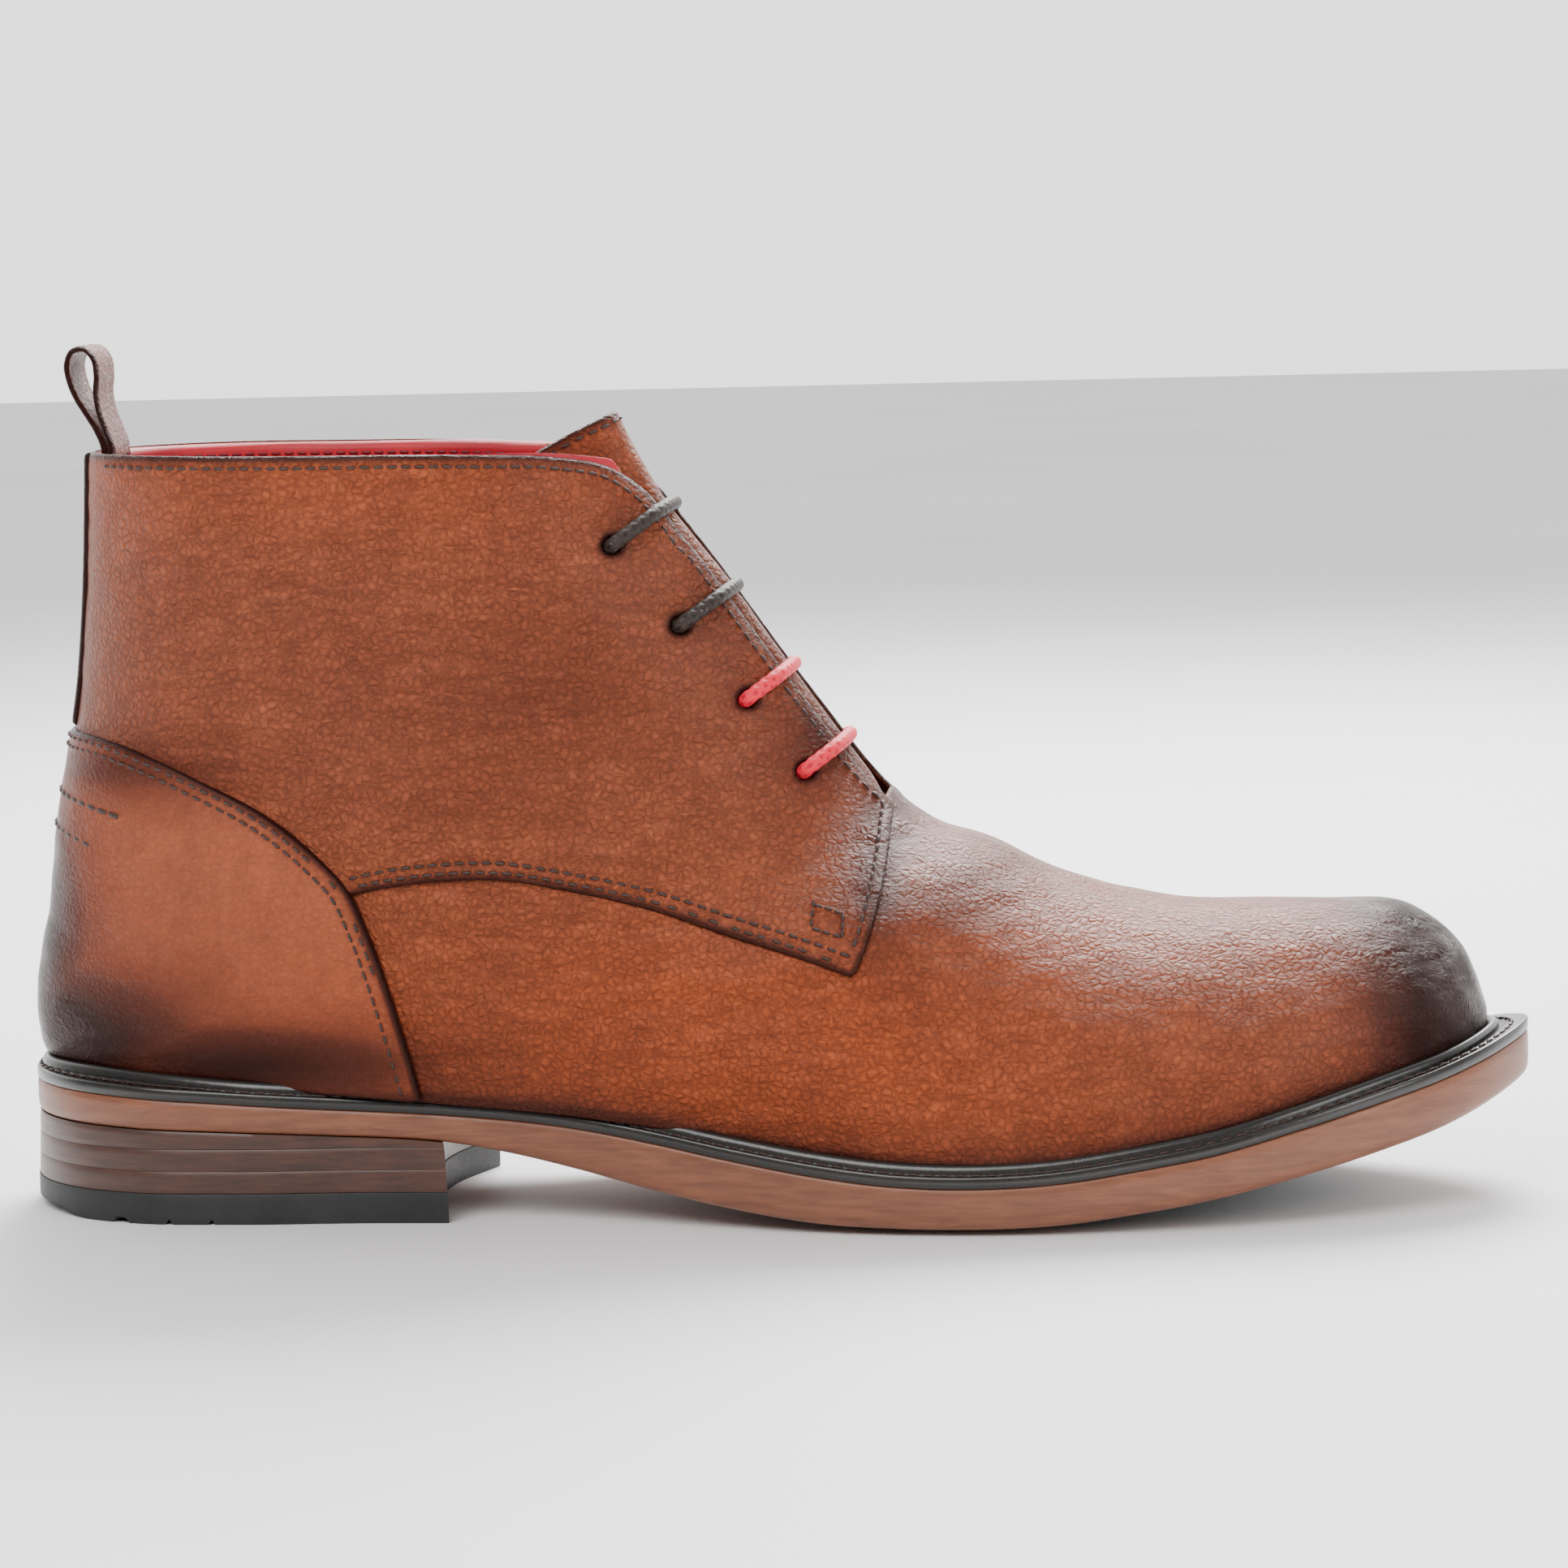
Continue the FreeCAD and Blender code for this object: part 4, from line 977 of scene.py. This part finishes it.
fineContour = resample(contour[:, :2], 0.1)
inner = smoothLoop(nearestOn(fineContour, outline), 10)
reach = np.linalg.norm(outline - inner, axis=1)
inside = insideOf(outline, inner[:, 0], inner[:, 1])
reach = np.where(inside, reach, 0)
way = np.roll(outline, -1, axis=0) - np.roll(outline, 1, axis=0)
way /= np.linalg.norm(way, axis=1, keepdims=True)
outward = np.stack([-way[:, 1], way[:, 0]], axis=1) * insetSign
reach = smoothLoop(np.maximum(reach, weltShape["narrowest"]), 10)
weltProfile = [("in", -2.4, 0.06), ("out", -1.2, 0.06), ("out", -0.25, 0.06), ("out", 0.0, 0.3),
               ("out", 0.05, 1.2),
               ("out", 0.0, 2.1), ("out", -0.2, 2.45), ("out", -0.6, 2.6), ("out", -1.0, 2.55),
               ("in", 2.55, 2.45), ("in", 2.45, 2.75), ("in", 2.45, 3.3), ("in", 2.25, 3.95),
               ("in", 1.8, 4.5),
               ("in", 1.15, 4.75), ("in", 0.5, 4.6), ("in", 0.05, 4.2), ("in", -0.6, 3.6), ("in", -2.4, 3.4)]
rings = []
for rail, along, rise in weltProfile:
    drawn = outline + outward * (along if rail == "out" else along - reach)[..., None] if rail == "in" else \
        outline + outward * along
    rings.append(level(drawn, heightOf(sole["top"], drawn[:, 0]) + rise))
points, faces = ringStack(rings, closeEnds=False)
n = len(outline)
last = (len(rings) - 1) * n
faces += [[last + k, last + (k + 1) % n, (k + 1) % n, k] for k in range(n)]
makePiece("welt", points, faces, weltBlack, node=("welt",))
ledge = outline + outward * (-0.5 * (reach - 2.5) - 0.3)[:, None]
ledgeLine = np.vstack([level(ledge, heightOf(sole["top"], ledge[:, 0]) + 2.52)] * 2)[:n + 1]
up = np.tile([0.0, 0.0, 1.0], (n + 1, 1))
points, faces = stitchMesh([(ledgeLine, up)], weltShape["stitchPitch"], weltShape["stitchLength"],
                           weltShape["stitchWidth"])
makePiece("welt_stitches", points, faces, threadBrown)

soleEdge = [(1.5, 0.0), (0.35, 0.0), (0.1, 0.3), (0.0, 1.2), (0.0, 3.4), (0.12, 4.6), (0.5, 5.1), (1.1, 5.35)]


def soleTop(x):
    return heightOf(sole["top"], x)


def soleBottom(x):
    return heightOf(sole["bottom"], x)


def underWelt(x):
    return soleTop(x) - 0.02


rings = capRings(insetOutline(outline, 1.5), underWelt)[::-1]
for inset, down in soleEdge:
    drawn = insetOutline(outline, inset)
    thick = soleTop(drawn[:, 0]) - soleBottom(drawn[:, 0])
    rings.append(level(drawn, soleTop(drawn[:, 0]) - down / 5.35 * thick))
rings += capRings(insetOutline(outline, 1.1), soleBottom)
points, faces = ringStack(rings)
makePiece("outsole", points, faces, soleTan, node=("outsole",))
print("welt and sole made")

heel = {
    "rear": [(91, -34.2), (75, -34), (48, -35), (27, -33), (12, -25), (3.5, -14), (0, 0), (3.5, 14), (12, 25),
             (27, 33), (50, 34), (75, 31), (91, 29.5)],
    "hollow": [(91, 29.5), (85, 8), (85, -12), (91, -34.2)],
    "topLift": 6.25, "lift": 4.45, "gap": 0.05, "insets": (-0.5, -0.3, -0.1, 0.1),
    "notches": [(9, 1.5), (23.5, 3.2), (34, 0.8), (43, 0.8)], "notchDepth": 1.1,
}


def heelLoop(inset):
    shrink = np.array([1 - inset / 46, 1 - inset / 34])
    rear = (curveThrough(heel["rear"], 0.8) - [45, 0]) * shrink + [45, 0]
    hollow = curveThrough([rear[-1], (rear[-1][0] - 6, 8), (rear[0][0] - 6, -12), rear[0]], 0.8)
    return np.vstack([rear, hollow[1:-1]])


def drawIn(loop, amount):
    middle = np.array([44.0, 0.0])
    way = loop - middle
    return loop - way / np.linalg.norm(way, axis=1, keepdims=True) * amount


def addLift(name, lowInset, highInset, bottom, top, material, node, tread=False, follow=False):
    low, high = heelLoop(lowInset), heelLoop(highInset)
    count = min(len(low), len(high))
    low, high = resample(low, 1, count=count), resample(high, 1, count=count)
    rings = []
    if tread:
        for amount in (22, 12, 5, 2.2):
            drawn = drawIn(low, amount)
            rings.append(level(drawn, treadHeight(drawn, amount)))
    else:
        rings.append(level(drawIn(low, 4), np.full(len(low), float(bottom))))
    for share, amount in ((0, 0.14), (0.04, 0.02), (0.3, 0), (0.7, 0), (0.96, 0.02), (1, 0.14)):
        drawn = drawIn(low + (high - low) * share, amount)
        height = bottom + (top - bottom) * share
        if follow:
            height = bottom + (np.minimum(top, soleBottom(drawn[:, 0]) - 0.06) - bottom) * share
        heights = np.broadcast_to(np.asarray(height, float), len(drawn)).copy()
        if tread and share < 0.3:
            heights = np.maximum(heights, treadHeight(drawn, amount) + share * 4)
        rings.append(level(drawn, heights))
    lid = top if not follow else None
    drawn = drawIn(high, 4)
    rings.append(level(drawn, np.full(len(high), float(top)) if lid is not None
                       else np.minimum(top, soleBottom(drawn[:, 0]) - 0.06)))
    points, faces = ringStack(rings)
    piece = makePiece(name, points, faces, material, node=node)
    sharpen(piece)
    return piece


def sharpen(piece, angle=40):
    edges = piece.data
    edges.set_sharp_from_angle(angle=math.radians(angle))


def treadHeight(drawn, amount):
    x = drawn[:, 0]
    rise = 2.6 * (1 - ease(x, 2, 17))
    for place, width in heel["notches"]:
        rise = np.maximum(rise, heel["notchDepth"] * (np.abs(x - place) < width / 2))
    return rise if amount < 10 else np.zeros(len(x))


insets = heel["insets"]
addLift("top_lift", insets[0], insets[0], 0, heel["topLift"], blackRubber, ("top_lift",),
        tread=True)
for number in (1, 2, 3):
    bottom = 6.3 + (number - 1) * (heel["lift"] + heel["gap"])
    addLift(f"heel_lift_{number}", insets[number], insets[number] + 0.2, bottom, bottom + heel["lift"],
            heelBrown, (f"heel_lift_{number}",), follow=number == 3)
print("heel built")

# ---- laces
lace = {"radius": 1.5, "inside": -1.8, "outside": 6.1, "tail": 34, "instepOut": np.array([0.81, 0, 0.586]),
        "strands": 8, "relief": 0.11}
outerTree = BVHTree.FromPolygons(
    skin.reshape(-1, 3).tolist(),
    [(i * form["columns"] + j, i * form["columns"] + j + 1, (i + 1) * form["columns"] + j + 1,
      (i + 1) * form["columns"] + j) for i in range(form["rows"] - 1) for j in range(form["columns"] - 1)])


def onForm(place, side, sideways=None):
    x, z = place
    middle = float(centreAt(x))
    if sideways is None:
        start, way = Vector((x, middle, z)), Vector((0, side, 0))
    else:
        start = Vector((x, middle + side * sideways, z)) - Vector(lace["instepOut"]) * 5
        way = Vector(lace["instepOut"]).normalized()
    spot = outerTree.ray_cast(start, way, 90)[0]
    near = np.argmin(((skin.reshape(-1, 3) - np.array(spot))**2).sum(axis=1))
    return np.array(spot), normals.reshape(-1, 3)[near]


def liftedFrom(found, offset):
    return found[0] + found[1] * offset


def laceHole(place, side):
    lift = onForm(place, side)[1] * upper["quarterOut"]
    return onForm((place[0] - lift[0], place[1] - lift[2]), side)


def laceRoute(lower, higher):
    def bar(place, side):
        hole, far = laceHole(place, side), laceHole(place, -side)
        edge, over = upper["gap"] - 1.5, lace["outside"]
        start, finish = liftedFrom(hole, over), liftedFrom(far, over)
        near = liftedFrom(onForm(place, side, edge), over)
        beyond = liftedFrom(onForm(place, -side, edge), over)
        return [liftedFrom(hole, lace["inside"]), liftedFrom(hole, over - 1.6), start,
                start + (near - start) * 0.3, near, beyond, finish + (beyond - finish) * 0.3, finish,
                liftedFrom(far, over - 1.6),
                liftedFrom(far, lace["inside"])]

    def tail(place):
        spots = []
        for share in (0.12, 0.35, 0.7, 1.0):
            spot = (place[0] - 0.95 * share * lace["tail"], place[1] - 0.3 * share * lace["tail"])
            spots.append(liftedFrom(onForm(spot, 1), lace["inside"]))
        return spots

    return tail(lower)[::-1] + bar(lower, 1) + bar(higher, -1) + tail(higher)


def roundLine(points, pieces=10):
    points = [np.asarray(p, float) for p in points]
    line = [points[0]]
    for k in range(1, len(points) - 1):
        a = points[0] if k == 1 else (points[k - 1] + points[k]) / 2
        b = points[-1] if k == len(points) - 2 else (points[k] + points[k + 1]) / 2
        for share in np.linspace(0, 1, pieces + 1)[1:]:
            line.append(a * (1 - share)**2 + points[k] * 2 * share * (1 - share) + b * share**2)
    return resample(np.array(line), 0.3)


def braid(angle, along):
    first = np.sin(lace["strands"] / 2 * angle + along * 2 * np.pi / 2.6)
    second = np.sin(lace["strands"] / 2 * angle - along * 2 * np.pi / 2.6)
    return lace["relief"] * (np.maximum(first, second) - 0.75)


def addLace(name, lower, higher, material):
    path = roundLine(laceRoute(lower, higher))
    points, faces = tubeAlong(path, lace["radius"], 24, relief=braid)
    ring = np.tile(np.linspace(0, 2 * np.pi, 24, endpoint=False), len(path))
    along = np.repeat(np.arange(len(path)) * 0.3, 24)
    # the braid relief height, passed on as painted shade for the cord colour
    braidShade = braid(ring, along) / lace["relief"] / 1.75 + 1.0
    makePiece(name, points, faces, material, values={"braidShade": braidShade}, node=(name,))
    print(name, "length", round(np.linalg.norm(np.diff(path, axis=0), axis=1).sum(), 1))


holes = upper["holes"]
addLace("lace_brown", holes[1], holes[0], cordBrown)
addLace("lace_red", holes[3], holes[2], cordRed)

# ---- pull loop
loop = {
    "line": [(20.3, 154.0), (20.0, 156.5), (18.7, 159.8), (16.7, 163.2), (14.7, 166.6), (13.4, 170.2),
             (13.1, 173.4), (14.4, 176.0), (16.8, 176.4), (18.7, 174.4), (19.2, 171.0), (18.9, 167.4),
             (19.4, 163.6),
             (20.7, 159.8), (21.8, 156.5), (22.0, 154.0)],
    "half": 7.6, "thick": 1.25,
}


def addLoop():
    line = curveThrough(loop["line"], 0.6)
    way = np.gradient(line, axis=0)
    way /= np.linalg.norm(way, axis=1, keepdims=True)
    side = np.column_stack([way[:, 1], -way[:, 0]])
    section = []
    half, thick = loop["half"], loop["thick"] / 2
    for share in np.linspace(-1, 1, 23):
        section.append((share * half, thick * min(1, 0.35 + math.sqrt(max(0, 1 - abs(share)**12)) * 0.65)))
    top = [(y, h) for y, h in section]
    ring = top + [(y, -h) for y, h in reversed(section)]
    rings = []
    centre = float(centreAt(15))
    for k, spot in enumerate(line):
        twist = 0.05 * (spot[1] - 157)
        rows = []
        for y, h in ring:
            place = spot + side[k] * h
            narrow = 1 - 0.05 * ease(np.array(spot[1]), 157, 170)
            rows.append((place[0] + 0.02 * y * twist, centre + y * narrow, place[1]))
        rings.append(np.array(rows))
    points, faces = ringStack(rings)
    across = np.tile([abs(y) / half for y, _ in ring], len(line))
    burn = 0.35 + 0.6 * ease(across, 0.82, 1.0)
    values = {"burnish": burn, "warmth": np.full(len(points), 0.3)}
    piece = makePiece("pull_loop", points, faces, upperLeather, body=None, values=values,
                      node=("pull_loop",))
    tuple(toFrame([20.5, centre, 156.0]))
    tuple(toFrame([20.5, centre, 160.5]))
    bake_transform(piece)


addLoop()
print("laces and loop made")

# ---- seams
seams = {"collar": 2.4, "low": (1.5, 3.4), "counter": (1.5, 3.4), "lining": 2.6, "tongue": 2.2}
leftHalf, rightHalf = (0, middleColumn), (middleColumn, form["columns"] - 1)
quarterSeams, counterSeams, liningSeams, shortSeams = [], [], [], []
inQuarter = (quarterField > 0.6)
offCounter = counterSigned < -0.4
besideStrip = np.abs(qy) > upper["stripHalf"] + 0.3
for first, last in (leftHalf, rightHalf):
    keep = inQuarter & offCounter & (lowDepth > 4.6) & besideStrip & ((qz < 152) | (qx > 22))
    quarterSeams += linesAt(facingDepth, seams["collar"], keep, upper["quarterOut"], first, last)
    keep = inQuarter & offCounter & (facingDepth > 1.2) & (qz < 90) & (qx > 60)
    for depth in seams["low"]:
        quarterSeams += linesAt(lowDepth, depth, keep, upper["quarterOut"], first, last)
points, faces = stitchMesh(quarterSeams)
makePiece("quarter_stitches", points, faces, threadBrown)
counterRim = distanceTo(counterLine, cx, cz)
for first, last in (leftHalf, rightHalf):
    keep = (counterField > 0.5) & (np.abs(cy) > 1.0) & (cz > 26)
    for depth in seams["counter"]:
        counterSeams += linesAt(counterRim, depth, keep, upper["counterOut"], first, last)
shortRows = [[(-6, 88.9), (9.4, 85.9), (25.8, 82.2)], [(-6, 81.2), (7.1, 79.2), (19.1, 75.8)]]
for row in shortRows:
    rise = np.interp(cx, [p[0] for p in row], [p[1] for p in row])
    keep = (cx < row[-1][0]) & (counterField > 0)
    for first, last in (leftHalf, rightHalf):
        shortSeams += linesAt(cz - rise, 0, keep, upper["counterOut"], first, last)
points, faces = stitchMesh(counterSeams)
makePiece("counter_stitches", points, faces, threadBrown)
points, faces = stitchMesh(shortSeams, 3.4, 2.9, 1.0)
makePiece("heel_stitches", points, faces, threadBrown)
ix, iy, iz = raisedSkin(0)
for first, last in (leftHalf, rightHalf):
    keep = (signedTo(liningOutline, ix, iz) > 0.5) & (fromGap(ix, iy) > 3) & (iz > 120)
    liningSeams += linesAt(distanceTo(collarLine, ix, iz), seams["lining"], keep, 0.1, first, last)
liningSeams = [(line, -out) for line, out in liningSeams]
points, faces = stitchMesh(liningSeams)
makePiece("lining_stitches", points, faces, threadRed)
tongueKeep = np.abs(ty) < 14
tongueSeams = linesAt(distanceTo(tongueTopLine, tx, tz), seams["tongue"], tongueKeep & (tongueField > 0.8),
                      upper["tongueOut"], 0, form["columns"] - 1)
tongueSeams = [(liftTongue(line), out) for line, out in tongueSeams]
points, faces = stitchMesh(tongueSeams)
makePiece("tongue_stitches", points, faces, threadBrown, "tongue")
print("seams sewn:", sum(len(group) for group in (quarterSeams, counterSeams, liningSeams, tongueSeams)))

# ---- bar tacks at the low front corners of the quarters
tack = {"x": (167.2, 173.2), "z": (57.8, 61.6), "drop": 0.28}


def tackFall(x):
    return -(x - tack["x"][0]) * tack["drop"]


def addTacks():
    lines = []
    for side in (-1, 1):
        (x1, x2), (z1, z2) = tack["x"], tack["z"]
        corners = [(x1, z2 + 1), (x1, z1), (x2, z1 + tackFall(x2)), (x2, z2 + tackFall(x2)), (x1, z2)]
        for a, b in zip(corners, corners[1:]):
            spots = [onForm((a[0] + (b[0] - a[0]) * s, a[1] + (b[1] - a[1]) * s), side)
                     for s in np.linspace(0, 1, 7)]
            lines.append((np.array([liftedFrom(s, upper["quarterOut"]) for s in spots]),
                          np.array([s[1] for s in spots])))
    points, faces = stitchMesh(lines, pitch=1.9, length=1.7)
    makePiece("bar_tacks", points, faces, threadBrown)


addTacks()

# ---- sock liner and inner pieces
sock = {"rise": 3.2, "thick": 1.3, "crown": 0.8}


def addSock():
    def height(x):
        return weltHeight(x) + sock["rise"]

    loopLine = contourAt(np.full(skin.shape[:2], -0.4), height)
    plan = resample(loopLine[:, :2], 1, count=420)[:-1]
    rings = []
    for share in (0.95, 0.6, 0.3, 0.1, 0.03):
        drawn = plan + (spineOf(plan) - plan) * share
        rings.append(level(drawn, height(drawn[:, 0]) - sock["thick"]))
    for share, lift in ((0, -0.9), (0, -0.4), (0.01, 0), (0.04, 0.15), (0.12, 0.3), (0.3, 0.5), (0.6, 0.7),
                        (0.95, 0.8)):
        drawn = plan + (spineOf(plan) - plan) * share
        rings.append(level(drawn, height(drawn[:, 0]) + lift * sock["crown"]))
    points, faces = ringStack(rings)
    makePiece("sock_liner", points, faces, liningRed, node=("sock_liner",))


addSock()


def dress(node, material):
    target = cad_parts[node]
    target.data.materials.clear()
    target.data.materials.append(material)


for node, material in (("toe_puff", boardTan), ("heel_stiffener", boardTan),
                       ("facing_stay_lateral", boardTan),
                       ("facing_stay_medial", boardTan), ("insole_board", boardTan),
                       ("cork_filler", corkMaterial),
                       ("steel_shank", steelMaterial), ("heel_nails", steelMaterial),
                       ("tread_insert", blackRubber)):
    dress(node, material)
print("inner pieces dressed")

# ---- floor and light
studio = {"floor": (0.9, 0.9, 0.9), "world": 2.2, "front": (0.09, 0.09, 0.09), "side": (0.26, 0.26, 0.26),
          "back": (1.0, 1.0, 1.0), "key": 14, "rim": 34, "fill": 5}


def addStudio():
    bpy.ops.mesh.primitive_plane_add(size=8)
    floor = bpy.context.object
    floor.name = "floor"
    material, nodes, links, shader = newMaterial("paleFloor")
    grain = noiseAt(nodes, links, placeOf(nodes, links), 3, 2)
    links.new(ramp(nodes, links, grain, [(0.3, (0.83, 0.83, 0.83)), (0.7, studio["floor"])]),
              shader.inputs["Base Color"])
    shader.inputs["Roughness"].default_value = 0.6
    floor.data.materials.append(material)
    world = bpy.data.worlds.new("studioWorld")
    bpy.context.scene.world = world
    world.use_nodes = True
    nodes, links = world.node_tree.nodes, world.node_tree.links
    split = nodes.new("ShaderNodeSeparateXYZ")
    links.new(nodes.new("ShaderNodeTexCoord").outputs["Generated"], split.inputs[0])
    share = maths(nodes, links, "MULTIPLY_ADD", split.outputs[1], 0.5, 0.5, clamp=True)
    stops = [(0.1, studio["front"]), (0.5, studio["side"]), (0.72, studio["back"])]
    backdrop = ramp(nodes, links, share, stops)
    links.new(backdrop, nodes["Background"].inputs["Color"])
    nodes["Background"].inputs["Strength"].default_value = studio["world"]
    lamps = (("key", (-0.35, -0.9, 0.95), (0.0, 0, 0.08), 0.9, studio["key"]),
             ("rim", (0.08, 0.8, 0.85), (0.03, 0, 0.06), 0.7, studio["rim"]),
             ("fill", (0.9, -0.7, 0.5), (0.05, 0, 0.05), 0.6, studio["fill"]))
    for name, spot, target, size, power in lamps:
        light = bpy.data.lights.new(name, "AREA")
        light.shape = "DISK"
        light.size = size
        light.energy = power
        lamp = bpy.data.objects.new(name, light)
        lamp.location = spot
        lamp.rotation_euler = (Vector(target) - Vector(spot)).to_track_quat("-Z", "Y").to_euler()
        bpy.context.scene.collection.objects.link(lamp)


addStudio()
print("studio lit")
